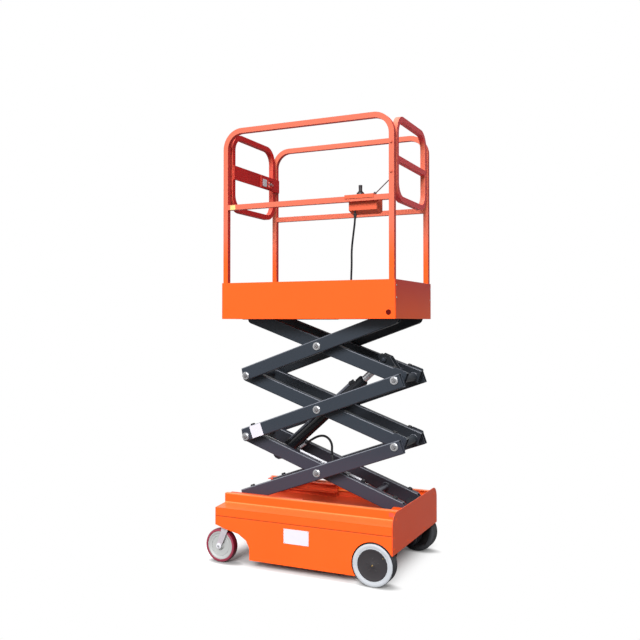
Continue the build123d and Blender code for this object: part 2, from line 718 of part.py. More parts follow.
# ---- Hose and cable --------------------------------------------------------------
hose_start = elbow_plane.offset(12).origin
hose_steps = (hose_lead, (59.0, 21.5), (41.3, -13.7), (24.1, -36.2), (-2.5, -47.0), (7.5, -47.0))
hose_route = [tuple(hose_start)]
for run_x, run_z in hose_steps:
    last = hose_route[-1]
    hose_route.append((last[0] + run_x, 0, last[2] + run_z))
cable_y = box_y0 + 8.5
cable_steps = ((35, -123), (23, -211), (13, -292), (14, -375), (10, -452), (13, -529))
cable_route = [(box_x0 + 34, cable_y, box_z0 + 13.5)]
cable_route += [(box_x0 + x, cable_y, hook_z + z) for x, z in cable_steps]
cable_route.append((box_x0 + 11, cable_y, deck_z0 + deck_t + seat_gap))
cord_table = (
    # name, route, diameter
    ("hydraulic_hose", hose_route, 14.0),
    ("control_cable", cable_route, 11.0),
)
for name, route, diameter in cord_table:
    radii = cord_radii(route)
    print(name, [round(r) for r in radii])
    with BuildPart() as cord:
        with BuildLine():
            run = FilletPolyline(*route, radius=radii)
        with BuildSketch(Plane(origin=run @ 0, z_dir=run % 0)):
            Circle(diameter / 2)
        sweep(path=run)
    finish(cord.part, name)
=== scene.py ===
"""Compact scissor lift: the finishes and small fittings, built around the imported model."""

import json
import math

import bmesh
import bpy
from bpy.props import FloatProperty, FloatVectorProperty, PointerProperty
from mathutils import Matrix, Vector


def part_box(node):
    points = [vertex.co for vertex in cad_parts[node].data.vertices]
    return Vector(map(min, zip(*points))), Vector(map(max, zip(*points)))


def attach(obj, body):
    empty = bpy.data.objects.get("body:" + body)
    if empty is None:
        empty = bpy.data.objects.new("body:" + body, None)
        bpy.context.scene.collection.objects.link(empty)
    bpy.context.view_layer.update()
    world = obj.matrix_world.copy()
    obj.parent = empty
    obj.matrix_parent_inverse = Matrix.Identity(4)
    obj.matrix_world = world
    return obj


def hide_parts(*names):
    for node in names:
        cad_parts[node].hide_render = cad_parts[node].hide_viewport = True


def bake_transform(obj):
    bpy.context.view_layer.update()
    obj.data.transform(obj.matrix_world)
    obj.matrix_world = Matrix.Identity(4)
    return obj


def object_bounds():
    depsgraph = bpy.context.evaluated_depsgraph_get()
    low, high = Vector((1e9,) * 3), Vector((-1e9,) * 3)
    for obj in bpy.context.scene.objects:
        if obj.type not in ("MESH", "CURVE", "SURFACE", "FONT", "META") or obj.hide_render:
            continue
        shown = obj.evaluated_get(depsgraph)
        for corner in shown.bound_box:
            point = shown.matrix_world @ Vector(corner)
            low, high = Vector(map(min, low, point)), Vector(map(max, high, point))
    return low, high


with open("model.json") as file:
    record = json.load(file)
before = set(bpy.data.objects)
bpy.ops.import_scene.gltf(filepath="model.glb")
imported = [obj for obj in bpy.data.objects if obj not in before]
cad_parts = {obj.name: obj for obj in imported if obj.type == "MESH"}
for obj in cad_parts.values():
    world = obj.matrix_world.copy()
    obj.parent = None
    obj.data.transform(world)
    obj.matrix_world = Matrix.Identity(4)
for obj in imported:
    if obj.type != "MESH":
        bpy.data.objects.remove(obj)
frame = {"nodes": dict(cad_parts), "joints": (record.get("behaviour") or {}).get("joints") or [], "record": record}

CAD_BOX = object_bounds()
NODES = frame["nodes"]
SLOT_OF = {sub["node"]: sub["material_slot"] for sub in frame["record"]["subparts"]}

bl_info = {
    "name": "Compact Scissor Lift",
    "version": (1, 0, 0),
    "blender": (4, 5, 0),
    "location": "View3D > Sidebar > Scissor Lift",
    "description": "Adds the finishes and small fittings of a compact scissor lift",
    "category": "Object",
}

WHITE = (1.0, 1.0, 1.0, 1.0)


# ---- Shader graph helpers --------------------------------------------------------
class Value:
    """A number coming out of a socket; arithmetic on it adds Math nodes."""

    def __init__(self, graph, socket):
        self.graph = graph
        self.socket = socket

    def _math(self, operation, *others):
        return self.graph.add("ShaderNodeMath", {"operation": operation}, [self, *others])

    def __add__(self, other):
        return self._math("ADD", other)

    __radd__ = __add__

    def __mul__(self, other):
        return self._math("MULTIPLY", other)

    __rmul__ = __mul__

    def __sub__(self, other):
        return self._math("SUBTRACT", other)

    def __rsub__(self, other):
        return self.graph.add("ShaderNodeMath", {"operation": "SUBTRACT"}, [other, self])

    def __truediv__(self, other):
        return self._math("DIVIDE", other)

    def __pow__(self, other):
        return self._math("POWER", other)

    def __gt__(self, other):
        return self._math("GREATER_THAN", other)

    def __abs__(self):
        return self._math("ABSOLUTE")

    def fract(self):
        return self._math("FRACT")

    def floor(self):
        return self._math("FLOOR")

    def maximum(self, other):
        return self._math("MAXIMUM", other)

    def smooth(self, low, high):
        """0 below low, 1 above high, and an even curve between."""
        settings = {"interpolation_type": "SMOOTHSTEP"}
        sockets = {"Value": self, "From Min": low, "From Max": high}
        return self.graph.add("ShaderNodeMapRange", settings, sockets)

    def output(self, name):
        """Another output of the node that this number comes from."""
        return Value(self.graph, self.socket.node.outputs[name])


class Graph:
    """A tree of shader nodes, and the one method that adds to it."""

    def __init__(self, tree):
        self.tree = tree

    def add(self, kind, settings=None, sockets=None, output=0):
        """Adds a node: its settings first, then the values or links of its sockets."""
        node = self.tree.nodes.new(kind)
        for key, value in (settings or {}).items():
            setattr(node, key, value)
        pairs = sockets.items() if isinstance(sockets, dict) else enumerate(sockets or [])
        for key, value in pairs:
            self.feed(node.inputs[key], value)
        return Value(self, node.outputs[output]) if node.outputs else None

    def feed(self, socket, value):
        if isinstance(value, Value):
            self.tree.links.new(value.socket, socket)
        else:
            socket.default_value = value

    def place(self, output="Object"):
        """Object coordinates, or the surface normal, as a vector and as its x, y and z."""
        spot = self.add("ShaderNodeTexCoord", output=output)
        x = self.add("ShaderNodeSeparateXYZ", None, [spot])
        return spot, (x, x.output("Y"), x.output("Z"))


class Surface(Graph):
    """One material's nodes, with a Principled shader at their end."""

    def __init__(self, name):
        self.material = bpy.data.materials.new(name)
        self.material.use_nodes = True
        super().__init__(self.material.node_tree)
        self.shader = self.tree.nodes["Principled BSDF"]

    def stretched(self, spot, scale):
        """The same coordinates with each axis scaled by its own number."""
        return self.add("ShaderNodeVectorMath", {"operation": "MULTIPLY"}, [spot, scale])

    def noise(self, spot, scale, detail=3.0, roughness=0.5):
        sockets = {"Vector": spot, "Scale": scale, "Detail": detail, "Roughness": roughness}
        return self.add("ShaderNodeTexNoise", None, sockets)

    def blend(self, mask, low, high):
        """A colour that goes from low to high with the mask."""
        sockets = {"Factor": mask, 6: low, 7: high}
        return self.add("ShaderNodeMix", {"data_type": "RGBA"}, sockets, output=2)

    def bump(self, height, distance, strength=1.0):
        sockets = {"Height": height, "Distance": distance, "Strength": strength}
        self.feed(self.shader.inputs["Normal"], self.add("ShaderNodeBump", None, sockets))

    def finish(self, **sockets):
        """Sets or links the shader's own sockets, named with underscores."""
        for key, value in sockets.items():
            self.feed(self.shader.inputs[key.replace("_", " ")], value)
        return self.material


def tint(colour, factor):
    """The colour made lighter or darker by a factor."""
    return tuple(min(1.0, channel * factor) for channel in colour[:3]) + (1.0,)


# ---- Finishes ----------------------------------------------------------------------
def powder_coat(name, colour, roughness=0.36, seam_z=None, high_colour_and_sheen=None, edge_highlight_colour=None, shaded_side_colour=None,
                shade_below_z=None, shade_inside_y=None, low_colour_and_inner_shade=None, shine=0.3):
    """Sprayed paint: faint orange peel, slow change of shade, dust where it gathers; it can also carry painted
    highlights on edges and folds, a paler painted sheen high up, and painted shade on shaded sides, inner faces
    and low parts.
    """
    g = Surface(name)
    _, (lean, out, climb) = g.place("Normal")
    spot, (_, y, z) = g.place()
    shade = g.noise(spot, 2.5, 2.0)
    scuff = g.noise(spot, 38.0, 6.0, 0.7).smooth(0.62, 0.8)
    peel = g.noise(spot, 520.0, 2.0)
    height = peel * 0.25 - scuff * 0.2
    body = g.blend(shade, tint(colour, 0.93), tint(colour, 1.06))
    # High up the paint turns to the rail colour, which is paler than the rails' paint to stand in for a painted
    # sheen.
    if high_colour_and_sheen is not None:
        body = g.blend(z.smooth(1.70, 1.98), body, tint(high_colour_and_sheen, 1.0))
    if seam_z is not None:
        seam = 1.0 - abs(z - seam_z).smooth(0.0012, 0.0042)
        body = g.blend(seam * 0.7, body, tint(colour, 0.2))
        height = height - seam * 6.0
        # Painted highlights in a paler orange along the folds and shelf of the side sheets.
        body = g.blend(painted_fold_highlights(abs(y), z), body, (1.0, 0.33, 0.115, 1.0))
    # Lower down, the arms turn to the low colour; faces turned in towards the middle get painted shade.
    if low_colour_and_inner_shade is not None:
        body = g.blend(z.smooth(0.84, 0.50), body, tint(low_colour_and_inner_shade, 1.0))
        body = g.blend((out * y).smooth(-0.03, -0.08) * 0.62, body, tint(colour, 0.25))
    body = g.blend(scuff * 0.16, body, tint(colour, 0.72))
    # Painted highlight on edges and fillets that turn part way up.
    if edge_highlight_colour is not None:
        edge = climb.smooth(0.10, 0.40) * (1.0 - climb.smooth(0.80, 0.90))
        body = g.blend(edge * 0.8, body, tint(edge_highlight_colour, 1.0))
    # Painted shade: faces turned to +X or downwards, above the platform floor, go to a darker red.
    if shaded_side_colour is not None:
        turned = lean.smooth(0.25, 0.75).maximum((climb * -1.0).smooth(0.35, 0.85))
        body = g.blend(turned * z.smooth(1.35, 1.7), body, tint(shaded_side_colour, 1.0))
    # Painted shade low down: nearly black below the given height.
    if shade_below_z is not None:
        body = g.blend(z.smooth(shade_below_z, shade_below_z - 0.03), body, (0.012, 0.010, 0.010, 1.0))
    # Painted shade on the parts that lie within the given distance of the middle.
    if shade_inside_y is not None:
        body = g.blend(abs(y).smooth(shade_inside_y + 0.004, shade_inside_y - 0.004), body, (0.02, 0.022, 0.028, 1.0))
    g.bump(height, 0.0004, 0.45)
    g.shader.inputs["Specular IOR Level"].default_value = shine
    return g.finish(Base_Color=body, Roughness=scuff * 0.14 + shade * 0.08 + roughness - 0.04,
                    Coat_Weight=shine * 0.25, Coat_Roughness=0.16, IOR=1.5)


def painted_fold_highlights(out, z):
    """Painted highlights along the folds of the side sheets, and a little of them on their shelf."""
    shoulder = (1.0 - abs(z - 0.3228).smooth(0.0012, 0.0040)) * out.smooth(0.4005, 0.4030)
    foot = (1.0 - abs(z - 0.3345).smooth(0.0016, 0.0046)) * (1.0 - out.smooth(0.2945, 0.2990))
    top = z.smooth(0.3795, 0.3845)
    shelf = z.smooth(0.3235, 0.3245) * (1.0 - z.smooth(0.3322, 0.3330)) * (1.0 - out.smooth(0.4000, 0.4030))
    return (shoulder * 0.8).maximum(foot * 0.65).maximum(top * 0.5).maximum(shelf * 0.22)


def part_painted(name, paint, metal, edge_y):
    """Plated steel whose stretch between the arms was sprayed with them."""
    g = Surface(name)
    spot, (_, y, _) = g.place()
    bare = abs(y).smooth(edge_y - 0.001, edge_y + 0.001)
    cloud = g.noise(spot, 60.0, 3.0)
    grain = g.noise(spot, 300.0, 3.0)
    steel = g.blend(cloud, tint(metal, 0.8), tint(metal, 1.08))
    body = g.blend(bare, g.blend(cloud, tint(paint, 0.9), tint(paint, 1.1)), steel)
    g.bump(grain, 0.0002, 0.3)
    return g.finish(Base_Color=body, Roughness=0.44 - bare * 0.14 + cloud * 0.1, Metallic=bare)


def tyre_with_tread_shade(name, side_colour, tread_shade_colour, face_y):
    """Pale tyre: the ring on its outer face keeps the pale colour, and the running surface and inner face are
    darkened as painted shade.
    """
    g = Surface(name)
    spot, (_, y, _) = g.place()
    # Painted shade: every part of the tyre except its outer face is dark.
    ring = abs(y).smooth(face_y - 0.0045, face_y - 0.0030)
    grain = g.noise(spot, 260.0, 4.0)
    dirt = g.noise(spot, 14.0, 5.0, 0.65).smooth(0.45, 0.75)
    side = g.blend(dirt * 0.5, tint(side_colour, 1.0), tint(side_colour, 0.78))
    tread = g.blend(dirt, tint(tread_shade_colour, 0.85), tint(tread_shade_colour, 1.5))
    g.bump(grain, 0.0004, 0.3)
    return g.finish(Base_Color=g.blend(ring, tread, side), Roughness=dirt * 0.1 + 0.6)


def label_film(name, colour):
    """Plain printed film: smooth, a little glossy, with dust at its middle."""
    g = Surface(name)
    spot, _ = g.place()
    haze = g.noise(spot, 22.0, 3.0)
    body = g.blend(haze, tint(colour, 0.94), tint(colour, 1.02))
    g.bump(g.noise(spot, 90.0, 2.0), 0.0001, 0.2)
    return g.finish(Base_Color=body, Roughness=haze * 0.12 + 0.3)


def plated(name, colour, roughness, streak=(30.0, 30.0, 30.0), metallic=1.0):
    """Plated or bare steel with a drawn grain and dull patches."""
    g = Surface(name)
    spot, _ = g.place()
    grain = g.noise(g.stretched(spot, streak), 14.0, 4.0, 0.6)
    cloud = g.noise(spot, 60.0, 3.0)
    body = g.blend(cloud, tint(colour, 0.82), tint(colour, 1.08))
    g.bump(grain, 0.0002, 0.25)
    return g.finish(Base_Color=body, Roughness=grain * 0.16 + cloud * 0.1 + roughness - 0.1,
                    Metallic=metallic)


def rubber(name, colour, roughness=0.75, scale=240.0, dust=0.25, side=None, shine=0.5):
    """Moulded rubber: fine grain, paler dust in patches, and a lighter side wall if one is given."""
    g = Surface(name)
    spot, _ = g.place()
    grain = g.noise(spot, scale, 4.0)
    patch = g.noise(spot, 9.0, 4.0, 0.6).smooth(0.45, 0.75)
    body = g.blend(patch * dust, tint(colour, 0.95), tint(colour, 1.6))
    if side is not None:
        _, (_, out, _) = g.place("Normal")
        body = g.blend(abs(out).smooth(0.45, 0.75), body, tint(side, 1.0))
    g.shader.inputs["Specular IOR Level"].default_value = shine
    g.bump(grain, 0.0005, 0.35)
    return g.finish(Base_Color=body, Roughness=patch * 0.1 + roughness - 0.05)


def plastic(name, colour, roughness=0.45, grain_depth=0.0003, shine=0.5):
    """Moulded plastic with a fine leathered skin."""
    g = Surface(name)
    g.shader.inputs["Specular IOR Level"].default_value = shine
    spot, _ = g.place()
    skin = g.add("ShaderNodeTexVoronoi", {"feature": "SMOOTH_F1"}, {"Vector": spot, "Scale": 600.0})
    cloud = g.noise(spot, 12.0, 3.0)
    body = g.blend(cloud, tint(colour, 0.93), tint(colour, 1.07))
    g.bump(skin, grain_depth, 0.4)
    return g.finish(Base_Color=body, Roughness=cloud * 0.12 + roughness - 0.06)


def chequer_plate(name, colour):
    """Steel deck plate with raised lugs turned one way and the other by turns."""
    g = Surface(name)
    spot, (x, y, _) = g.place()
    pitch = 0.022
    u = x / pitch
    v = y / pitch
    turned = ((u.floor() + v.floor()) / 2.0).fract() > 0.25
    a = u.fract() - 0.5
    b = v.fract() - 0.5
    along = (a + b) * 0.7071
    across = (a - b) * 0.7071
    swap = 1.0 - turned
    long_way = along * swap + across * turned
    short_way = across * swap + along * turned
    lug = 1.0 - ((long_way / 0.52) ** 2.0 + (short_way / 0.14) ** 2.0).smooth(0.45, 1.0)
    wear = g.noise(spot, 6.0, 5.0, 0.65).smooth(0.4, 0.7)
    body = g.blend(wear, tint(colour, 0.85), tint(colour, 1.2))
    body = g.blend(lug * wear * 0.6, body, tint(colour, 2.0))
    g.bump(lug, 0.0012, 1.0)
    return g.finish(Base_Color=body, Roughness=wear * -0.15 + 0.6, Metallic=0.6)


def finishes(look):
    """Every finish by the name of its slot."""
    orange = tuple(look.orange)
    # The inside paint is a darker, redder orange: painted shade inside the chassis.
    shaded_tray = (orange[0] * 0.80, orange[1] * 0.80, orange[2] * 2.9)
    arm = tuple(look.arm_colour)
    zinc = (0.50, 0.51, 0.53)
    return {
        # The second, darker reds given below are painted shade for faces turned to +X or downwards.
        "orange_paint": powder_coat("orange_paint", orange, 0.42, high_colour_and_sheen=tuple(look.rail_colour_and_sheen),
                                    shaded_side_colour=(0.57, 0.028, 0.021), shine=0.2),
        "gate_red": powder_coat("gate_red", (0.62, 0.085, 0.055), 0.45, shaded_side_colour=(0.50, 0.012, 0.012),
                                shine=0.12),
        "chassis_paint": powder_coat("chassis_paint", orange, seam_z=look.seam_height),
        "arm_paint": powder_coat("arm_paint", arm, 0.42, edge_highlight_colour=(0.17, 0.18, 0.21),
                                 low_colour_and_inner_shade=(0.040, 0.035, 0.051)),
        "bracket_dark": powder_coat("bracket_dark", tint(arm, 0.4)[:3], 0.4, edge_highlight_colour=(0.10, 0.11, 0.14)),
        "inner_shade_paint": powder_coat("inner_shade_paint", shaded_tray, 0.5, shade_below_z=0.25, shine=0.2),
        # Brackets in a darker orange, with painted shade on their inner part.
        "bracket_shade_paint": powder_coat("bracket_shade_paint", tint(orange, 0.8)[:3], 0.5, shade_inside_y=0.13, shine=0.2),
        "panel_paint": powder_coat("panel_paint", (0.84, 0.078, 0.012), 0.4),
        "box_paint": powder_coat("box_paint", (0.70, 0.115, 0.055), 0.45, shine=0.12),
        "loop_paint": powder_coat("loop_paint", tuple(look.rail_colour_and_sheen), 0.45, shaded_side_colour=(0.74, 0.070, 0.078),
                                  shine=0.15),
        "zinc": plated("zinc", zinc, 0.42),
        "pin_steel": part_painted("pin_steel", arm, (0.74, 0.75, 0.77), ARM_FACE - ARM_TUBE / 2),
        "cylinder_paint": powder_coat("cylinder_paint", (0.010, 0.011, 0.014), 0.26),
        "chrome_rod": plated("chrome_rod", (0.78, 0.79, 0.82), 0.2, (2.0, 2.0, 90.0), 0.6),
        "tyre_grey": tyre_with_tread_shade("tyre_grey", (0.42, 0.44, 0.47), (0.035, 0.037, 0.042),
                                   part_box("drive_tyre_left")[1].y),
        "wheel_disc": plastic("wheel_disc", (0.022, 0.019, 0.022), 0.5),
        "caster_rubber": rubber("caster_rubber", (0.15, 0.006, 0.018), 0.42, dust=0.1,
                                side=(0.24, 0.026, 0.052)),
        "caster_plastic": plastic("caster_plastic", (0.36, 0.37, 0.365), 0.42),
        "box_black": plastic("box_black", (0.016, 0.016, 0.019), 0.5),
        "hose_rubber": rubber("hose_rubber", (0.010, 0.010, 0.012), 0.6, 500.0, shine=0.2),
        "deck_steel": chequer_plate("deck_steel", (0.2, 0.21, 0.22)),
        "white_film": label_film("white_film", (0.62, 0.60, 0.66)),
        "yellow_film": label_film("yellow_film", (0.68, 0.58, 0.20)),
        "wire_grey": rubber("wire_grey", (0.08, 0.055, 0.055), 0.5, 500.0),
        "brass": plated("brass", (0.62, 0.42, 0.16), 0.32),
        "plug_red": plastic("plug_red", (0.10, 0.004, 0.003), 0.6, shine=0.05),
        "pipe_white": powder_coat("pipe_white", (0.62, 0.62, 0.66), 0.4),
        "bolt_grey": plated("bolt_grey", (0.24, 0.24, 0.25), 0.42, metallic=0.5),
        "fitting_grey": plated("fitting_grey", (0.30, 0.30, 0.32), 0.4, metallic=0.3),
        "pipe_grey": powder_coat("pipe_grey", (0.085, 0.09, 0.11), 0.35),
        "fork_plate": plated("fork_plate", (0.50, 0.46, 0.50), 0.42, metallic=0.3),
    }


FINISH = {}


def slot_finish(name):
    """The finish of one slot, made on first use."""
    if not FINISH:
        FINISH.update(finishes(bpy.context.scene.scissor_look))
    return FINISH[name]


# ---- Places on the machine, all taken from the frame -----------------------------------
JOINT = {joint["name"]: joint for joint in frame["joints"]}
UP = Vector((0.0, 0.0, 1.0))
ACROSS = Vector((0.0, 1.0, 0.0))
LENGTHWISE = Vector((1.0, 0.0, 0.0))
RIGHT_PINS = [Vector(JOINT[name]["pos_m"]) for name in ("lift", "knee_12", "knee_23", "platform_level")]
CROSSES = [Vector(JOINT[name]["pos_m"]) for name in ("cross_1", "cross_2", "cross_3")]
HALF_ARM = (RIGHT_PINS[1] - CROSSES[0]).length
ARM_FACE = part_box("outer_arm_1")[1].y
INNER_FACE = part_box("inner_arm_1")[1].y
ARM_TUBE = 0.040
RAIL_TUBE = 0.030
CASTER_PLATE_Z = 0.219

# Control points of the two free runs, where they leave and where they end, in metres.
HOSE_ROUTE = (
    (-0.1486, 0.0, 0.63692), (-0.0636, 0.0, 0.69692), (-0.0046, 0.0, 0.71842), (0.0367, 0.0, 0.70472),
    (0.0608, 0.0, 0.66852), (0.0583, 0.0, 0.62152), (0.0658, 0.0, 0.57452),
)
CABLE_ROUTE = (
    (0.3240, -0.280, 2.0035), (0.3250, -0.280, 1.9603), (0.3130, -0.280, 1.8723), (0.3030, -0.280, 1.7913),
    (0.3040, -0.280, 1.7083), (0.3000, -0.280, 1.6313), (0.3030, -0.280, 1.5543), (0.3010, -0.280, 1.4743),
)


class ArmLine:
    """One pair of scissor arms: u runs up along the tube from its middle, n is square to it and up."""

    def __init__(self, level, lean):
        look = bpy.context.scene.scissor_arms
        self.middle = CROSSES[level - 1]
        line = RIGHT_PINS[level] - self.middle if lean > 0 else self.middle - RIGHT_PINS[level - 1]
        angle = math.atan2(line.z, abs(line.x)) - look.skew
        self.along = Vector((lean * math.cos(angle), 0.0, math.sin(angle)))
        self.up = Vector((-lean * math.sin(angle), 0.0, math.cos(angle)))
        self.pin_u = HALF_ARM * math.cos(look.skew)
        self.pin_n = HALF_ARM * math.sin(look.skew)
        self.half_depth = look.depth / 2

    def spot(self, u, n, y):
        return self.middle + self.along * u + self.up * n + ACROSS * y


# ---- Shapes ----------------------------------------------------------------------------
def circle(radius, steps=40, centre=(0.0, 0.0)):
    """Points round a circle."""
    turn = 2 * math.pi / steps
    return [(centre[0] + radius * math.cos(turn * i),
             centre[1] + radius * math.sin(turn * i)) for i in range(steps)]


def rounded(width, height, radius, steps=5):
    """Points round a rectangle with round corners, about its middle."""
    points = []
    for cx, cy, start in ((1, 1, 0), (-1, 1, 90), (-1, -1, 180), (1, -1, 270)):
        for i in range(steps + 1):
            angle = math.radians(start + 90 * i / steps)
            points.append((cx * (width / 2 - radius) + radius * math.cos(angle),
                           cy * (height / 2 - radius) + radius * math.sin(angle)))
    return points


def ring_points(centre, side, other, radius, steps, start=0.0):
    """Points round a centre, in the plane of side and other."""
    angles = [start + 2 * math.pi * i / steps for i in range(steps)]
    return [centre + side * radius * math.cos(angle) + other * radius * math.sin(angle) for angle in angles]


def break_edges(part, width, angle=30):
    """A small bevel along every edge of the part that is sharper than the angle."""
    bevel = part.modifiers.new("edges", "BEVEL")
    bevel.width = width
    bevel.segments = 2
    bevel.limit_method = "ANGLE"
    bevel.angle_limit = math.radians(angle)


class Shape:
    """A mesh under construction, made of turned, cut and swept pieces."""

    def __init__(self):
        self.bm = bmesh.new()

    def turned(self, origin, axis, profile, steps=48, start=0.0):
        """A profile of (radius, height) turned about an axis."""
        axis = axis.normalized()
        side = axis.orthogonal().normalized()
        other = axis.cross(side)
        rings = []
        for radius, height in profile:
            base = origin + axis * height
            if radius < 1e-7:
                rings.append([self.bm.verts.new(base)])
                continue
            ring = ring_points(base, side, other, radius, steps, start)
            rings.append([self.bm.verts.new(point) for point in ring])
        for low, high in zip(rings, rings[1:]):
            for i in range(steps):
                j = (i + 1) % steps
                corners = [low[i % len(low)], low[j % len(low)], high[j % len(high)], high[i % len(high)]]
                corners = list(dict.fromkeys(corners))
                if len(corners) > 2:
                    self.bm.faces.new(corners)
        return self

    def cut(self, origin, right, up, outline, depth, holes=()):
        """A plate with an outline in the plane of right and up, and holes through it."""
        sides = []
        for offset in (Vector((0.0, 0.0, 0.0)), depth):
            edges = []
            loops = []
            for ring in (outline, *holes):
                verts = [self.bm.verts.new(origin + right * u + up * v + offset) for u, v in ring]
                edges += [self.bm.edges.new((a, b)) for a, b in zip(verts, verts[1:] + verts[:1])]
                loops.append(verts)
            bmesh.ops.triangle_fill(self.bm, edges=edges, use_beauty=True)
            sides.append(loops)
        for low, high in zip(*sides):
            for i in range(len(low)):
                j = (i + 1) % len(low)
                self.bm.faces.new((low[i], low[j], high[j], high[i]))
        return self

    def swept(self, points, radius, closed=False, sides=6, ripple=0.0, beside=None):
        """A round bead along points; ripple swells it by turns, as laid weld does."""
        count = len(points)
        rings = []
        for i, point in enumerate(points):
            ahead = points[(i + 1) % count] if closed or i < count - 1 else point
            behind = points[i - 1] if closed or i > 0 else point
            line = (ahead - behind).normalized()
            side = line.cross(beside or (UP if abs(line.z) < 0.9 else LENGTHWISE)).normalized()
            other = line.cross(side)
            size = radius * (1.0 + ripple * math.sin(i * 2.2))
            ring = ring_points(point, side, other, size, sides)
            rings.append([self.bm.verts.new(corner) for corner in ring])
        pairs = list(zip(rings, rings[1:])) + ([(rings[-1], rings[0])] if closed else [])
        for low, high in pairs:
            for k in range(sides):
                m = (k + 1) % sides
                self.bm.faces.new((low[k], low[m], high[m], high[k]))
        if not closed:
            self.bm.faces.new(rings[0])
            self.bm.faces.new(rings[-1])
        return self

    def weld_ring(self, origin, axis, radius, bead=0.0022, steps=64):
        """Weld laid round the foot of a tube."""
        axis = axis.normalized()
        side = axis.orthogonal().normalized()
        ring = ring_points(origin, side, axis.cross(side), radius, steps)
        return self.swept(ring, bead, closed=True, ripple=0.16)

    def hex_bolt(self, origin, axis, across, height, washer=0.0):
        """Hexagon head with a chamfered crown and a small dimple, and its washer under it."""
        axis = axis.normalized()
        corner = across / math.sqrt(3)
        foot = 0.0
        if washer:
            foot = washer * 0.16
            self.turned(origin, axis,
                        ((0.0, 0.0), (washer, 0.0), (washer, foot * 0.7), (washer * 0.94, foot), (0.0, foot)),
                        32)
        head = ((0.0, foot), (corner, foot), (corner, height * 0.82), (corner * 0.9, height),
                (corner * 0.35, height), (corner * 0.25, height * 0.93), (0.0, height * 0.93))
        return self.turned(origin, axis, head, 6)

    def round_head(self, origin, axis, radius, height):
        """Domed screw or rivet head with a socket in it."""
        head = ((radius, 0.0), (radius * 0.98, height * 0.35), (radius * 0.8, height * 0.8),
                (radius * 0.45, height),
                (radius * 0.36, height), (radius * 0.3, height * 0.5), (0.0, height * 0.5))
        return self.turned(origin, axis, head, 20)

    def piece(self, name, body, finish, edge=0.0, replaced=()):
        """The finished object, riding on its body."""
        bmesh.ops.recalc_face_normals(self.bm, faces=self.bm.faces)
        mesh = bpy.data.meshes.new(name)
        self.bm.to_mesh(mesh)
        self.bm.free()
        mesh.polygons.foreach_set("use_smooth", [True] * len(mesh.polygons))
        mesh.set_sharp_from_angle(angle=math.radians(32))
        mesh.materials.append(slot_finish(finish))
        part = bpy.data.objects.new(name, mesh)
        bpy.context.scene.collection.objects.link(part)
        if edge:
            break_edges(part, edge, 40)
        if body:
            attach(part, body)
        if replaced:
            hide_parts(*replaced)
        return part


# ---- Stage, camera and light ---------------------------------------------------------
class SCISSOR_PG_look(bpy.types.PropertyGroup):
    """Colours of the machine."""

    orange: FloatVectorProperty(name="Body colour", description="Paint of the chassis and rails",
                                subtype="COLOR", size=3, min=0.0, max=1.0, default=(0.88, 0.098, 0.0085))
    # Paler than the rails' paint: it also stands in for a painted sheen.
    rail_colour_and_sheen: FloatVectorProperty(name="Rail colour", description="Paint of the rails round the platform",
                                     subtype="COLOR", size=3, min=0.0, max=1.0, default=(0.60, 0.132, 0.076))
    arm_colour: FloatVectorProperty(name="Arm colour", description="Paint of the scissor arms",
                                    subtype="COLOR", size=3, min=0.0, max=1.0, default=(0.023, 0.030, 0.041))
    seam_height: FloatProperty(name="Seam height", description="Height of the joint line along the chassis",
                               subtype="DISTANCE", default=0.276, min=0.0)
    edge: FloatProperty(name="Edge round", description="Radius that sheet and tube edges are broken to",
                        subtype="DISTANCE", default=0.0015, min=0.0)


class SCISSOR_PG_arms(bpy.types.PropertyGroup):
    """The tubes of the scissor arms and what is fixed to them."""

    skew: FloatProperty(name="Tube skew",
                        description="How much flatter a tube lies than the line of its pins",
                        subtype="ANGLE", default=math.radians(1.375))
    depth: FloatProperty(name="Tube depth", description="Height of an arm's tube", subtype="DISTANCE",
                         default=0.078)
    bolt: FloatProperty(name="Pin bolt", description="Width across the flats of the bolts that hold the pins",
                        subtype="DISTANCE", default=0.020, min=0.01)
    stop: FloatProperty(name="Stop height", description="Height of the rubber stops on the arms",
                        subtype="DISTANCE", default=0.010, min=0.002)


class SCISSOR_PG_wheels(bpy.types.PropertyGroup):
    """Drive wheels and casters."""

    groove: FloatProperty(name="Groove depth", description="Depth of the grooves round a drive tyre",
                          subtype="DISTANCE", default=0.0022, min=0.0)
    dish: FloatProperty(name="Caster dish", description="How far the web of a caster wheel is set in",
                        subtype="DISTANCE", default=0.006, min=0.0)


class SCISSOR_PG_cylinder(bpy.types.PropertyGroup):
    """The lift cylinder, its hose and the control cable."""

    barrel: FloatProperty(name="Barrel length", description="From the foot pin to the end of the barrel",
                          subtype="DISTANCE", default=0.66735, min=0.1)
    length: FloatProperty(name="Pin to pin", description="From the foot pin to the rod's pin, at rest",
                          subtype="DISTANCE", default=0.85535, min=0.1)
    radius: FloatProperty(name="Barrel radius", description="Outside radius of the barrel",
                          subtype="DISTANCE",
                          default=0.0295, min=0.01)
    hose: FloatProperty(name="Hose diameter", description="Outside diameter of the hydraulic hose",
                        subtype="DISTANCE",
                        default=0.014, min=0.004)
    cable: FloatProperty(name="Cable diameter", description="Outside diameter of the control cable",
                         subtype="DISTANCE",
                         default=0.011, min=0.003)


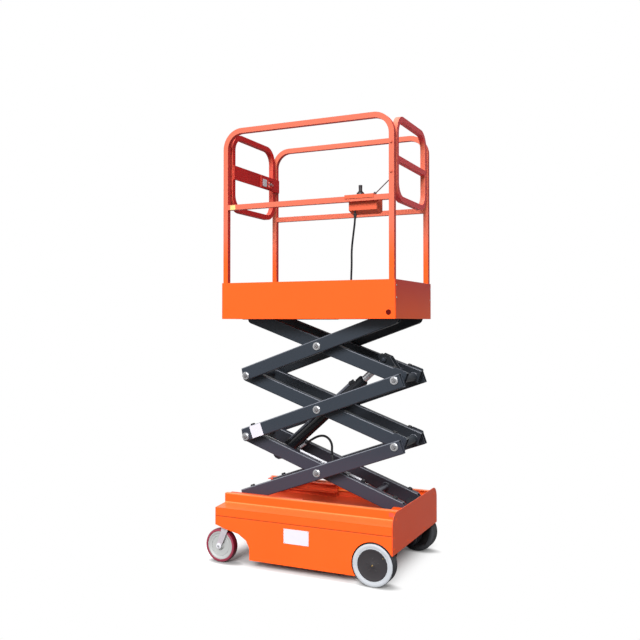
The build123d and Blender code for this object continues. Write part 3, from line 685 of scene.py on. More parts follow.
class SCISSOR_PG_stage(bpy.types.PropertyGroup):
    """Camera and light."""

    lens: FloatProperty(name="Lens", description="Focal length of the camera, in mm", default=44.18)
    spot: FloatVectorProperty(name="Camera", description="Where the camera stands", subtype="TRANSLATION",
                              size=3, default=(1.970, -4.277, 1.390))
    azimuth: FloatProperty(name="Azimuth", description="Direction the camera stands in, about the vertical",
                           subtype="ANGLE", default=math.radians(25.2))
    pitch: FloatProperty(name="Pitch", description="How far the camera looks up", subtype="ANGLE",
                         default=math.radians(0.9))
    key_strength: FloatProperty(name="Key light", description="Strength of the main, directional lamp",
                                default=4.3)
    top_power: FloatProperty(name="Top light", description="Power of the lamp overhead, in watts",
                             default=150.0)
    sky: FloatProperty(name="Sky", description="Strength of the light from all round", default=0.8)


class SCISSOR_OT_stage(bpy.types.Operator):
    """Add the floor, the lamps, the sky and the camera"""

    bl_idname = "scissor.stage"
    bl_label = "Stage"

    def execute(self, context):
        settings = context.scene.scissor_stage
        floor_mesh = bpy.data.meshes.new("floor")
        reach = 40.0
        corners = [(-reach, -reach, 0), (reach, -reach, 0), (reach, reach, 0), (-reach, reach, 0)]
        floor_mesh.from_pydata(corners, [], [(0, 1, 2, 3)])
        floor = bpy.data.objects.new("studio_floor", floor_mesh)
        context.scene.collection.objects.link(floor)
        g = Surface("studio_floor")
        _, (x, y, _) = g.place()
        seen = g.add("ShaderNodeLightPath", output="Is Camera Ray")
        high = CAD_BOX[1]
        aside = (x - high.x * 0.58).maximum(x * -1.0 - high.x * 0.98).maximum(0.0)
        afore = (abs(y) - high.y * 0.93).maximum(0.0)
        away = ((aside * aside + afore * afore) ** 0.5).smooth(0.0, 0.32)
        # Painted shadow on the floor under the machine, and painted contact shadows by the wheels; away from them
        # the floor glows white for camera rays.
        shade = (abs(x + 0.10) - 0.36).maximum(abs(y) - 0.30).smooth(0.10, -0.02) * 0.6
        for name in ("drive_right", "caster_roll_right"):
            wheel = Vector(JOINT[name]["pos_m"])
            long_way = (x - wheel.x - 0.03) / 0.150
            short_way = (abs(y) - abs(wheel.y)) / 0.075
            shade = shade.maximum((long_way * long_way + short_way * short_way).smooth(1.0, 0.05) * 0.75)
        away = away * (1.0 - shade)
        g.shader.inputs["Specular IOR Level"].default_value = 0.0
        lit = g.blend(shade, (0.93, 0.93, 0.93, 1.0), (0.16, 0.16, 0.16, 1.0))
        g.finish(Base_Color=g.blend(seen, (0.22, 0.22, 0.22, 1.0), lit), Roughness=0.9)
        glow = g.add("ShaderNodeEmission", None, {"Color": WHITE, "Strength": 1.0})
        seen_glow = g.add("ShaderNodeMixShader", None, [seen * away, Value(g, g.shader.outputs[0]), glow])
        g.feed(g.tree.nodes["Material Output"].inputs["Surface"], seen_glow)
        floor_mesh.materials.append(g.material)

        world = context.scene.world or bpy.data.worlds.new("studio_sky")
        context.scene.world = world
        world.use_nodes = True
        sky = Graph(world.node_tree)
        sky.tree.nodes.clear()
        seen = sky.add("ShaderNodeLightPath", output="Is Camera Ray")
        _, (x, _, _) = sky.place("Generated")
        reach = {"Value": x, "From Min": 0.75, "From Max": -0.55, "To Min": settings.sky * 0.33,
                 "To Max": settings.sky}
        strength = sky.add("ShaderNodeMapRange", {"interpolation_type": "SMOOTHSTEP"}, reach)
        even = sky.add("ShaderNodeBackground", None, {"Color": WHITE, "Strength": strength})
        plain = sky.add("ShaderNodeBackground", None, {"Color": WHITE})
        mix = sky.add("ShaderNodeMixShader", None, [seen, even, plain])
        sky.add("ShaderNodeOutputWorld", None, {"Surface": mix})

        lamps = (
            # name, kind, the direction or place it shines from, strength, spread
            ("key_lamp", "SUN", (0.9, -5.0, 3.2), settings.key_strength, 0.5),
            ("top_lamp", "AREA", (-0.4, -0.4, 5.6), settings.top_power, 3.2),
        )
        for name, kind, place, strength, spread in lamps:
            lamp = bpy.data.lights.new(name, kind)
            lamp.energy = strength
            if kind == "SUN":
                lamp.angle = spread
            else:
                lamp.size = spread
            holder = bpy.data.objects.new(name, lamp)
            holder.location = place
            aim = Vector((0.0, 0.0, 0.0)) - holder.location
            holder.rotation_euler = aim.to_track_quat("-Z", "Y").to_euler()
            context.scene.collection.objects.link(holder)

        eye = bpy.data.cameras.new("camera")
        eye.lens = settings.lens
        eye.sensor_width = 36.0
        eye.shift_x = 0.0055
        eye.shift_y = -0.0150
        eye.clip_end = 200.0
        holder = bpy.data.objects.new("camera", eye)
        holder.location = settings.spot
        level = Vector((-math.sin(settings.azimuth), math.cos(settings.azimuth), math.tan(settings.pitch)))
        holder.rotation_euler = level.to_track_quat("-Z", "Y").to_euler()
        context.scene.collection.objects.link(holder)
        context.scene.camera = holder
        context.scene.view_settings.view_transform = "Standard"
        return {"FINISHED"}


class SCISSOR_OT_paint(bpy.types.Operator):
    """Give each modelled part its finish, and break the sharp edges of the sheet-like ones"""

    bl_idname = "scissor.paint"
    bl_label = "Paint the parts"

    def execute(self, context):
        look = context.scene.scissor_look
        sheet_like = ("chassis_sides", "end_panels", "guard_rails", "end_loop", "gate_loop", "toe_board",
                      "chassis_tray", "control_box", "pivot_brackets", "gate_plate", "deck_underframe")
        other_finish = {"chassis_sides": "chassis_paint", "arm_pins_1": "pin_steel",
                        "arm_pins_2": "pin_steel",
                        "arm_pins_3": "pin_steel", "chassis_tray": "inner_shade_paint",
                        "base_channels": "inner_shade_paint",
                        "pivot_brackets": "bracket_shade_paint", "hydraulic_pipe": "pipe_white",
                        "gate_plate": "gate_red", "gate_loop": "gate_red", "end_loop": "loop_paint",
                        "control_box": "box_paint", "end_panels": "panel_paint",
                        "cylinder_eye_bracket": "bracket_dark",
                        "caster_fork_right": "fork_plate", "caster_fork_left": "fork_plate"}
        for name, part in NODES.items():
            finish = slot_finish(other_finish.get(name, SLOT_OF[name]))
            if not part.data.materials:
                part.data.materials.append(finish)
            for holder in part.material_slots:
                holder.material = finish
            if name in sheet_like:
                break_edges(part, look.edge)
        return {"FINISHED"}


class SCISSOR_OT_pins(bpy.types.Operator):
    """Add the bolts that hold the pins of the scissor arms, with their grease nipples"""

    bl_idname = "scissor.pins"
    bl_label = "Pin bolts"

    def execute(self, context):
        across = context.scene.scissor_arms.bolt
        left_top = [Vector((2 * c.x - p.x, 0.0, q.z)) for c, p, q in zip(CROSSES, RIGHT_PINS, RIGHT_PINS[1:])]
        table = (
            # body, pin places held by bolts outside the outer arms
            ("inner_1", (CROSSES[0], left_top[0])),
            ("inner_2", (RIGHT_PINS[1], CROSSES[1], left_top[1])),
            ("inner_3", (RIGHT_PINS[2], CROSSES[2])),
        )
        for body, places in table:
            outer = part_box("arm_pins_" + body[-1])[1].y
            shape = Shape()
            for place in places:
                for side in (-1, 1):
                    tip = Vector((place.x, side * outer, place.z))
                    shape.hex_bolt(tip, ACROSS * side, across, 0.0085, washer=0.0135)
                    nipple = ((0.0022, 0.0), (0.0022, 0.003), (0.003, 0.0045), (0.0014, 0.006), (0.0, 0.006))
                    shape.turned(tip + ACROSS * side * 0.008, ACROSS * side, nipple, 12)
            shape.piece("pin_bolts_" + body[-1], body, "bolt_grey", edge=0.0003)
        return {"FINISHED"}


class SCISSOR_OT_arm_fittings(bpy.types.Operator):
    """Add the rubber stops, end plates, weld and the blank label of the arms"""

    bl_idname = "scissor.arm_fittings"
    bl_label = "Arm fittings"

    def execute(self, context):
        arms = context.scene.scissor_arms
        lines = {(body, level): ArmLine(level, 1 if body == "outer" else -1)
                 for body in ("outer", "inner") for level in (1, 2, 3)}
        for (family, level), line in lines.items():
            mid_y = (ARM_FACE if family == "outer" else INNER_FACE) - ARM_TUBE / 2
            body = f"{family}_{level}"
            if level < 3 or family == "inner":
                stops = Shape()
                for side in (-1, 1):
                    foot = line.spot((0.058 if family == "outer" else 0.046) - line.pin_u, line.half_depth,
                                     side * mid_y)
                    height = arms.stop
                    profile = ((0.0, 0.0), (0.0138, 0.0), (0.0138, height * 0.3), (0.0128, height * 0.8),
                               (0.0105, height), (0.004, height), (0.0035, height * 0.7), (0.0, height * 0.7))
                    stops.turned(foot, line.up, profile, 28)
                stops.piece(f"rubber_stops_{body}", body, "box_black")
            if family == "inner":
                self.welds(line, level, body)
            if family == "inner" and level > 1:
                self.end_plates(line, body)
        line = lines[("outer", 2)]
        label = Shape()
        half = line.half_depth * 0.93
        start, end = 0.041 - line.pin_u, 0.119 - line.pin_u
        corners = [(start, -half), (end, -half), (end, half), (start, half)]
        label.cut(line.spot(0, 0, -(ARM_FACE + 0.0001)), line.along, line.up, corners, ACROSS * -0.0003)
        label.piece("arm_label", "outer_2", "white_film")
        return {"FINISHED"}

    def welds(self, line, level, body):
        """Weld round every tube that crosses between the two inner arms."""
        face = INNER_FACE - ARM_TUBE
        places = [(line.pin_u, line.pin_n, 0.0245)] if level < 3 else []
        if level > 1:
            places.append((-line.pin_u, -line.pin_n, 0.0245))
        if level == 1:
            places.append((0.185 - HALF_ARM, 0.0, 0.0198))
            places.append((HALF_ARM - 0.192, -0.031, 0.0205))
        shape = Shape()
        for u, n, radius in places:
            for side in (-1, 1):
                shape.weld_ring(line.spot(u, n, side * (face - 0.0008)), ACROSS, radius)
        shape.piece(f"welds_{body}", body, "arm_paint")

    def end_plates(self, line, body):
        """Plates that stiffen the lower ends of the inner arms, with weld along them."""
        low = -line.half_depth + 0.003
        top = line.half_depth + 0.007
        end = -line.pin_u - 0.034
        outline = [(end, low), (-line.pin_u + 0.034, low), (-line.pin_u + 0.052, line.half_depth - 0.004),
                   (-line.pin_u + 0.034, top), (end + 0.006, top), (end, top - 0.006)]
        hole = circle(0.0226, 36, (-line.pin_u, -line.pin_n))
        shape = Shape()
        for side in (-1, 1):
            shape.cut(line.spot(0, 0, side * (INNER_FACE + 0.0002)), line.along, line.up, outline,
                      ACROSS * side * 0.0045, [hole])
        shape.piece(f"end_plates_{body}", body, "arm_paint", edge=0.0008)


class SCISSOR_OT_drive_wheels(bpy.types.Operator):
    """Make the drive tyres and their discs"""

    bl_idname = "scissor.drive_wheels"
    bl_label = "Drive wheels"

    def execute(self, context):
        groove = context.scene.scissor_wheels.groove
        for label, side in (("right", -1), ("left", 1)):
            body = "drive_wheel_" + label
            low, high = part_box("drive_tyre_" + label)
            radius = (high.z - low.z) / 2
            hub_low, hub_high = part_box("drive_hub_" + label)
            hub = (hub_high.x - hub_low.x) / 2
            out = high.y if side > 0 else -low.y
            width = high.y - low.y
            axle = Vector(((low.x + high.x) / 2, side * out, (low.z + high.z) / 2))
            inwards = ACROSS * -side
            bore = hub + 0.0004
            profile = [(bore, 0.003), (bore + 0.0015, 0.0012), (bore + 0.005, 0.0006),
                       (bore + 0.0065, 0.0014),
                       (bore + 0.008, 0.0004), (radius - 0.0105, 0.0), (radius - 0.0055, 0.0012),
                       (radius - 0.0018, 0.0042),
                       (radius, 0.0085)]
            for centre in (0.26, 0.5, 0.74):
                at = width * centre
                profile += [(radius, at - 0.0032), (radius - groove, at - 0.0022),
                            (radius - groove, at + 0.0022),
                            (radius, at + 0.0032)]
            profile += [(radius, width - 0.0085), (radius - 0.0018, width - 0.0042),
                        (radius - 0.0055, width - 0.0012),
                        (radius - 0.0105, width), (bore + 0.004, width), (bore, width - 0.002), (bore, 0.003)]
            Shape().turned(axle, inwards, profile, 128).piece("tyre_" + label, body, "tyre_grey",
                                                              replaced=["drive_tyre_" + label])
            disc = [(0.0, 0.0022), (0.012, 0.0022), (0.0138, 0.0028), (0.0145, 0.0042), (0.020, 0.0050),
                    (0.052, 0.0050),
                    (0.060, 0.0042), (0.072, 0.0042), (0.0755, 0.0034), (0.0815, 0.0026),
                    (hub - 0.0008, 0.0030),
                    (hub, 0.0040), (hub, width - 0.004), (0.050, width - 0.004), (0.048, width - 0.0005),
                    (0.0, width - 0.0005)]
            plate = Shape().turned(axle, inwards, disc, 96)
            for k in range(5):
                angle = math.radians(72 * k + 18)
                spot = axle + Vector((math.cos(angle), 0.0, math.sin(angle))) * 0.034 + inwards * 0.005
                plate.turned(spot, ACROSS * side,
                             ((0.0046, 0.0), (0.0046, 0.0008), (0.0036, 0.0015), (0.0, 0.0015)), 24)
            plate.piece("disc_" + label, body, "wheel_disc", replaced=["drive_hub_" + label])
            cap = Shape().round_head(axle + inwards * 0.0024, ACROSS * side, 0.0046, 0.0022)
            valve = axle + Vector((0.060, 0.0, 0.043)) + inwards * 0.0042
            cap.turned(valve, ACROSS * side,
                       ((0.0032, 0.0), (0.0032, 0.002), (0.0022, 0.0032), (0.0, 0.0032)), 16)
            cap.piece("hub_screw_" + label, body, "brass")
        return {"FINISHED"}


class SCISSOR_OT_casters(bpy.types.Operator):
    """Make the caster wheels, and the bearings and bolts of their forks"""

    bl_idname = "scissor.casters"
    bl_label = "Casters"

    def execute(self, context):
        dish = context.scene.scissor_wheels.dish
        for label in ("right", "left"):
            body = "caster_wheel_" + label
            low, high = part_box("caster_hub_" + label)
            tyre_low, tyre_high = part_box("caster_tyre_" + label)
            hub = (high.x - low.x) / 2 - 0.0060
            radius = (tyre_high.x - tyre_low.x) / 2
            middle = (tyre_low + tyre_high) / 2
            half = (tyre_high.y - tyre_low.y) / 2
            wheel = Shape()
            tread = Shape()
            for side in (-1, 1):
                face = half - 0.004
                web = face - dish
                profile = [(hub, 0.0), (hub, face - 0.001), (hub - 0.001, face), (hub - 0.006, face),
                           (hub - 0.0085, face - 0.0022),
                           (0.060, web + 0.0012), (0.0585, web + 0.003), (0.0560, web + 0.003), (0.0545, web),
                           (0.026, web - 0.0005), (0.0235, web + 0.003), (0.021, face + 0.0015),
                           (0.0175, face + 0.0015),
                           (0.017, (high.y - low.y) / 2), (0.0068, (high.y - low.y) / 2), (0.0068, 0.0)]
                wheel.turned(middle, ACROSS * side, profile, 96)
            profile = [(hub + 0.0002, 0.004 - half), (hub + 0.003, 0.0012 - half),
                       (radius - 0.004, 0.0035 - half),
                       (radius - 0.001, 0.010 - half), (radius, 0.017 - half), (radius, half - 0.017),
                       (radius - 0.001, half - 0.010),
                       (radius - 0.004, half - 0.0035), (hub + 0.003, half - 0.0012),
                       (hub + 0.0002, half - 0.004),
                       (hub + 0.0002, 0.004 - half)]
            tread.turned(middle, ACROSS, profile, 112)
            wheel.piece("caster_web_" + label, body, "caster_plastic", replaced=["caster_hub_" + label])
            tread.piece("caster_tread_" + label, body, "caster_rubber", replaced=["caster_tyre_" + label])

            fork_low, fork_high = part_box("caster_fork_" + label)
            fork_body = "caster_" + label
            fixings = Shape()
            bosses = Shape()
            for side, edge in ((-1, fork_low.y), (1, fork_high.y)):
                boss = ((0.0, 0.0), (0.0105, 0.0), (0.0105, 0.0012), (0.0098, 0.0020), (0.0, 0.0020))
                bosses.turned(Vector((middle.x, edge, middle.z)), ACROSS * side, boss, 32)
                collar = ((0.0102, 0.0), (0.0165, 0.0), (0.0165, 0.0022), (0.0155, 0.0032), (0.0102, 0.0032),
                          (0.0102, 0.0))
                bosses.turned(Vector((middle.x, edge - side * 0.0055, middle.z)), ACROSS * side, collar, 40)
                fixings.hex_bolt(Vector((middle.x, edge + side * 0.002, middle.z)), ACROSS * side, 0.010,
                                 0.0040)
            bosses.piece("fork_bosses_" + label, fork_body, "pipe_white")
            king = Vector(JOINT["swivel_" + label]["pos_m"])
            crown = fork_high.z
            race = ((0.025, 0.0), (0.0325, 0.0), (0.0345, 0.002), (0.0345, 0.0052), (0.032, 0.0075),
                    (0.025, 0.0075), (0.025, 0.0))
            fixings.turned(Vector((king.x, king.y, crown + 0.0002)), UP, race, 48)
            fixings.turned(Vector((king.x, king.y, crown - 0.0065)), -UP,
                           ((0.0, 0.0), (0.016, 0.0), (0.016, 0.002), (0.012, 0.003), (0.0, 0.003)), 32)
            fixings.piece("fork_fixings_" + label, fork_body, "bolt_grey", edge=0.0003)
        plates = Shape()
        for label in ("right", "left"):
            king = Vector(JOINT["swivel_" + label]["pos_m"])
            for dx in (-0.028, 0.028):
                for dy in (-0.028, 0.028):
                    plates.hex_bolt(Vector((king.x + dx, king.y + dy, CASTER_PLATE_Z)), -UP, 0.010, 0.005)
        plates.piece("caster_plate_bolts", "chassis", "zinc", edge=0.0003)
        return {"FINISHED"}


class SCISSOR_OT_chassis(bpy.types.Operator):
    """Add the blank plate, rivets, bolts, inset and motor covers of the chassis"""

    bl_idname = "scissor.chassis"
    bl_label = "Chassis fittings"

    def execute(self, context):
        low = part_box("chassis_sides")[0]
        plate = Shape()
        corners = ((-0.056, 0.169), (0.098, 0.169), (0.098, 0.250), (-0.056, 0.250))
        plate.cut(Vector((0.0, low.y - 0.0002, 0.0)), LENGTHWISE, UP, corners, ACROSS * -0.0011)
        plate.piece("side_plate", "chassis", "white_film", edge=0.0004)
        rivets = Shape()
        for x in (-0.051, 0.093):
            for z in (0.174, 0.245):
                rivets.round_head(Vector((x, low.y - 0.0012, z)), -ACROSS, 0.0024, 0.0013)
        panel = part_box("end_panels")[1]
        heads = Shape()
        for side in (-1, 1):
            for y, z in ((0.372, 0.205), (0.372, 0.262), (0.150, 0.196), (0.340, 0.352)):
                heads.round_head(Vector((panel.x, side * y, z)), LENGTHWISE, 0.0052, 0.0020)
        rivets.piece("plate_rivets", "chassis", "zinc", edge=0.0002)
        heads.piece("panel_screws", "chassis", "chassis_paint")
        inset = Shape()
        for side in (-1, 1):
            place = Vector((0.538, side * 0.2940, 0.363))
            inset.cut(place, LENGTHWISE, UP, rounded(0.026, 0.022, 0.003), ACROSS * side * 0.0014,
                      [rounded(0.016, 0.013, 0.002)])
            inset.cut(place, LENGTHWISE, UP, rounded(0.0158, 0.0128, 0.002), ACROSS * side * 0.0005)
        inset.piece("strip_insets", "chassis", "gate_red")
        covers = Shape()
        for side in (-1, 1):
            axle = JOINT["drive_left"]["pos_m"]
            end = Vector((axle[0], side * 0.180, axle[2]))
            cover = ((0.0, 0.012), (0.018, 0.012), (0.022, 0.009), (0.044, 0.009), (0.0515, 0.003),
                     (0.0515, -0.006), (0.050, -0.006))
            covers.turned(end, ACROSS * -side, cover, 64)
            for k in range(7):
                ring = ((0.0502, 0.0), (0.0535, 0.0008), (0.0535, 0.0032), (0.0502, 0.004))
                covers.turned(end + ACROSS * side * (0.018 + 0.011 * k), ACROSS * side, ring, 64)
        covers.piece("motor_covers", "chassis", "arm_paint")
        return {"FINISHED"}


class SCISSOR_OT_platform(bpy.types.Operator):
    """Add the screws, bolts, welds, plugs and label of the platform and its rails"""

    bl_idname = "scissor.platform"
    bl_label = "Platform fittings"

    def execute(self, context):
        rail_low, rail_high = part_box("guard_rails")
        toe_low, toe_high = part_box("toe_board")
        tube = RAIL_TUBE
        mid_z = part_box("control_box")[1].z - 0.0063 - tube / 2
        label = Shape()
        outline = [(-0.453, -0.0148), (-0.419, -0.0148), (-0.419, 0.0125), (-0.453, 0.0125)]
        label.cut(Vector((0.0, rail_low.y - 0.0001, mid_z)), LENGTHWISE, UP, outline, ACROSS * -0.0003)
        label.piece("rail_label", "platform", "yellow_film")

        screws = Shape()
        for side in (-1, 1):
            for z in (1.591, 1.526):
                screws.round_head(Vector((toe_high.x, side * 0.3045, z)), LENGTHWISE, 0.0042, 0.0026)
                screws.round_head(Vector((toe_low.x, side * 0.3045, z)), -LENGTHWISE, 0.0042, 0.0026)
        box_low, box_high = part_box("control_box")
        for x in (box_low.x + 0.022, box_high.x - 0.012):
            for y in (box_high.y - 0.012, rail_low.y + tube / 2):
                screws.round_head(Vector((x, y, box_high.z)), UP, 0.0038, 0.0022)
        loop_low, loop_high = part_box("end_loop")
        bolts = Shape()
        for side in (-1, 1):
            for z in (loop_low.z + 0.148, loop_high.z - 0.166):
                place = Vector(((loop_low.x + loop_high.x) / 2, side * rail_high.y, z))
                bolts.hex_bolt(place, ACROSS * side, 0.013, 0.006, washer=0.0095)
        bolts.piece("loop_bolts", "platform", "orange_paint")
        screws.piece("platform_screws", "platform", "zinc", edge=0.0002)

        plug = Shape()
        plug_x = toe_high.x - 0.040
        plug_z = 1.447
        for side in (-1, 1):
            edge = toe_high.y if side > 0 else -toe_low.y
            ring = ((0.0, -0.001), (0.0128, -0.001), (0.0145, 0.0002), (0.0145, 0.0012), (0.0132, 0.002),
                    (0.0125, 0.0006), (0.0, 0.0002))
            plug.turned(Vector((plug_x, side * edge, plug_z)), ACROSS * side, ring, 40)
        plug.piece("toe_board_plugs", "platform", "plug_red")

        beads = Shape()
        for side in (-1, 1):
            y = side * (rail_high.y - tube / 2)
            for x in (rail_low.x + tube, rail_high.x - tube):
                square = [Vector((x, y + dy * (tube / 2 - 0.001), mid_z + dz * (tube / 2 - 0.001)))
                          for dy, dz in rounded(2.0, 2.0, 0.1, 8)]
                beads.swept(square, 0.0018, closed=True, ripple=0.18)
            for x in (rail_low.x + tube / 2, rail_high.x - tube / 2):
                foot = [Vector((x + dx * (tube / 2 + 0.0004), y + dy * (tube / 2 + 0.0004),
                                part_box("platform_deck")[1].z))
                        for dx, dy in rounded(2.0, 2.0, 0.1, 8)]
                beads.swept(foot, 0.0022, closed=True, ripple=0.18)
        for side in (-1, 1):
            x = (loop_low.x + loop_high.x) / 2
            z = loop_low.z + 0.230
            square = [Vector((x + dx * (tube / 2 - 0.001), side * (0.266 - tube),
                              z + dz * (tube / 2 - 0.001)))
                      for dx, dz in rounded(2.0, 2.0, 0.1, 8)]
            beads.swept(square, 0.0018, closed=True, ripple=0.18)
        beads.piece("rail_welds", "platform", "orange_paint")
        return {"FINISHED"}


class SCISSOR_OT_gate(bpy.types.Operator):
    """Add the latch, hinge pins and screws of the gate"""

    bl_idname = "scissor.gate"
    bl_label = "Gate fittings"

    def execute(self, context):
        low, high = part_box("gate_plate")
        hinge = Vector(JOINT["gate_swing"]["pos_m"])
        latch = Shape()
        window_y = 0.171
        window_z = (low.z + high.z) / 2 - 0.005
        case = rounded(0.056, 0.052, 0.005)
        latch.cut(Vector((high.x + 0.0002, window_y, window_z)), ACROSS, UP, case, LENGTHWISE * 0.003,
                  [rounded(0.041, 0.039, 0.003)])
        latch.piece("latch_frame", "gate", "gate_red", edge=0.0004)
        back = Shape().cut(Vector((high.x + 0.0001, 0.104, window_z)), ACROSS, UP,
                           rounded(0.052, 0.046, 0.003),
                           LENGTHWISE * 0.0012)
        back.piece("latch_plate", "gate", "pipe_white")
        bolt = Shape()
        rod_start = Vector((high.x - 0.004, window_y - 0.019, window_z))
        rod = ((0.0, 0.0), (0.0052, 0.0), (0.006, 0.001), (0.006, 0.062), (0.0048, 0.066), (0.0, 0.066))
        bolt.turned(rod_start, ACROSS, rod, 28)
        bolt.turned(Vector((high.x - 0.004, window_y, window_z)), LENGTHWISE,
                    ((0.0035, 0.0), (0.0035, 0.010), (0.0065, 0.012), (0.0065, 0.016), (0.0, 0.0172)), 24)
        for z in (hinge.z - 0.1198, hinge.z + 0.1298):
            cap = ((0.0, 0.0), (0.0072, 0.0), (0.0082, 0.001), (0.0072, 0.0045), (0.0, 0.005))
            bolt.turned(Vector((hinge.x, hinge.y, z + 0.0162)), UP, cap, 6)
            bolt.turned(Vector((hinge.x, hinge.y, z - 0.0162)), -UP, cap, 6)
        bolt.piece("latch_bolt_and_hinge_pins", "gate", "zinc", edge=0.0002)
        strike = Shape()
        rail_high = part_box("guard_rails")[1]
        for z in (low.z + 0.004, high.z - 0.006):
            strike.turned(Vector((hinge.x, rail_high.y, z)), ACROSS,
                          ((0.0, 0.0), (0.0062, 0.0), (0.0062, 0.0028), (0.0028, 0.003), (0.0028, 0.010),
                           (0.0, 0.0104)), 6)
        strike.piece("strike_screws", "platform", "zinc", edge=0.0002)
        return {"FINISHED"}


class SCISSOR_OT_controls(bpy.types.Operator):
    """Make the joystick with its boot, the plug and switch of the control box, and its stay"""

    bl_idname = "scissor.controls"
    bl_label = "Control box"

    def execute(self, context):
        low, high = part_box("joystick")
        centre = (low + high) / 2
        stick = Shape()
        foot = Vector((centre.x, centre.y, low.z))
        top = high.z - low.z
        profile = [(0.0, 0.0), (0.0224, 0.0), (0.0226, 0.0035), (0.0218, 0.0050), (0.0218, 0.0130),
                   (0.0205, 0.0155)]
        for k in range(3):
            radius = 0.0192 - 0.0028 * k
            height = 0.0162 + 0.0030 * k
            profile += [(radius, height), (radius + 0.0005, height + 0.0011),
                        (radius - 0.0020, height + 0.0023)]
        profile += [(0.0104, 0.0262), (0.0100, 0.034), (0.0104, top * 0.84), (0.0108, top * 0.95),
                    (0.0088, top), (0.0, top)]
        stick.turned(foot, UP, profile, 56)
        stick.piece("joystick_and_boot", "platform", "box_black", replaced=["joystick"])

        box_low, box_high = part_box("control_box")
        small = Shape()
        plug = Vector((box_high.x - 0.012, centre.y - 0.024, box_high.z))
        small.turned(plug, UP,
                     ((0.0, 0.0), (0.0075, 0.0), (0.0075, 0.003), (0.0058, 0.0034), (0.0054, 0.010),
                      (0.0036, 0.0125),
                                (0.0, 0.0128)), 24)
        key = Vector((box_low.x + 0.118, centre.y + 0.004, box_high.z))
        small.turned(key, UP, ((0.0, 0.0), (0.0095, 0.0), (0.0095, 0.0022), (0.0080, 0.0034), (0.0, 0.0034)),
                     32)
        small.piece("box_plug_and_switch", "platform", "box_black")
        stay = Shape()
        rail_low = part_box("guard_rails")[0]
        post_y = rail_low.y + 0.031
        foot = Vector((box_high.x - 0.008, post_y + 0.003, box_high.z + 0.004))
        head = Vector((0.5355, post_y + 0.003, box_high.z + 0.082))
        lean = (head - foot).normalized()
        stay.swept([foot, foot + lean * 0.004, head - lean * 0.004, head], 0.0031, sides=12, beside=ACROSS)
        for end in (foot, head):
            stay.turned(end + ACROSS * 0.0032, -ACROSS,
                        ((0.0, 0.0), (0.0055, 0.0), (0.0055, 0.0064), (0.0, 0.0064)), 20)
        stay.piece("box_stay", "platform", "wire_grey")
        return {"FINISHED"}


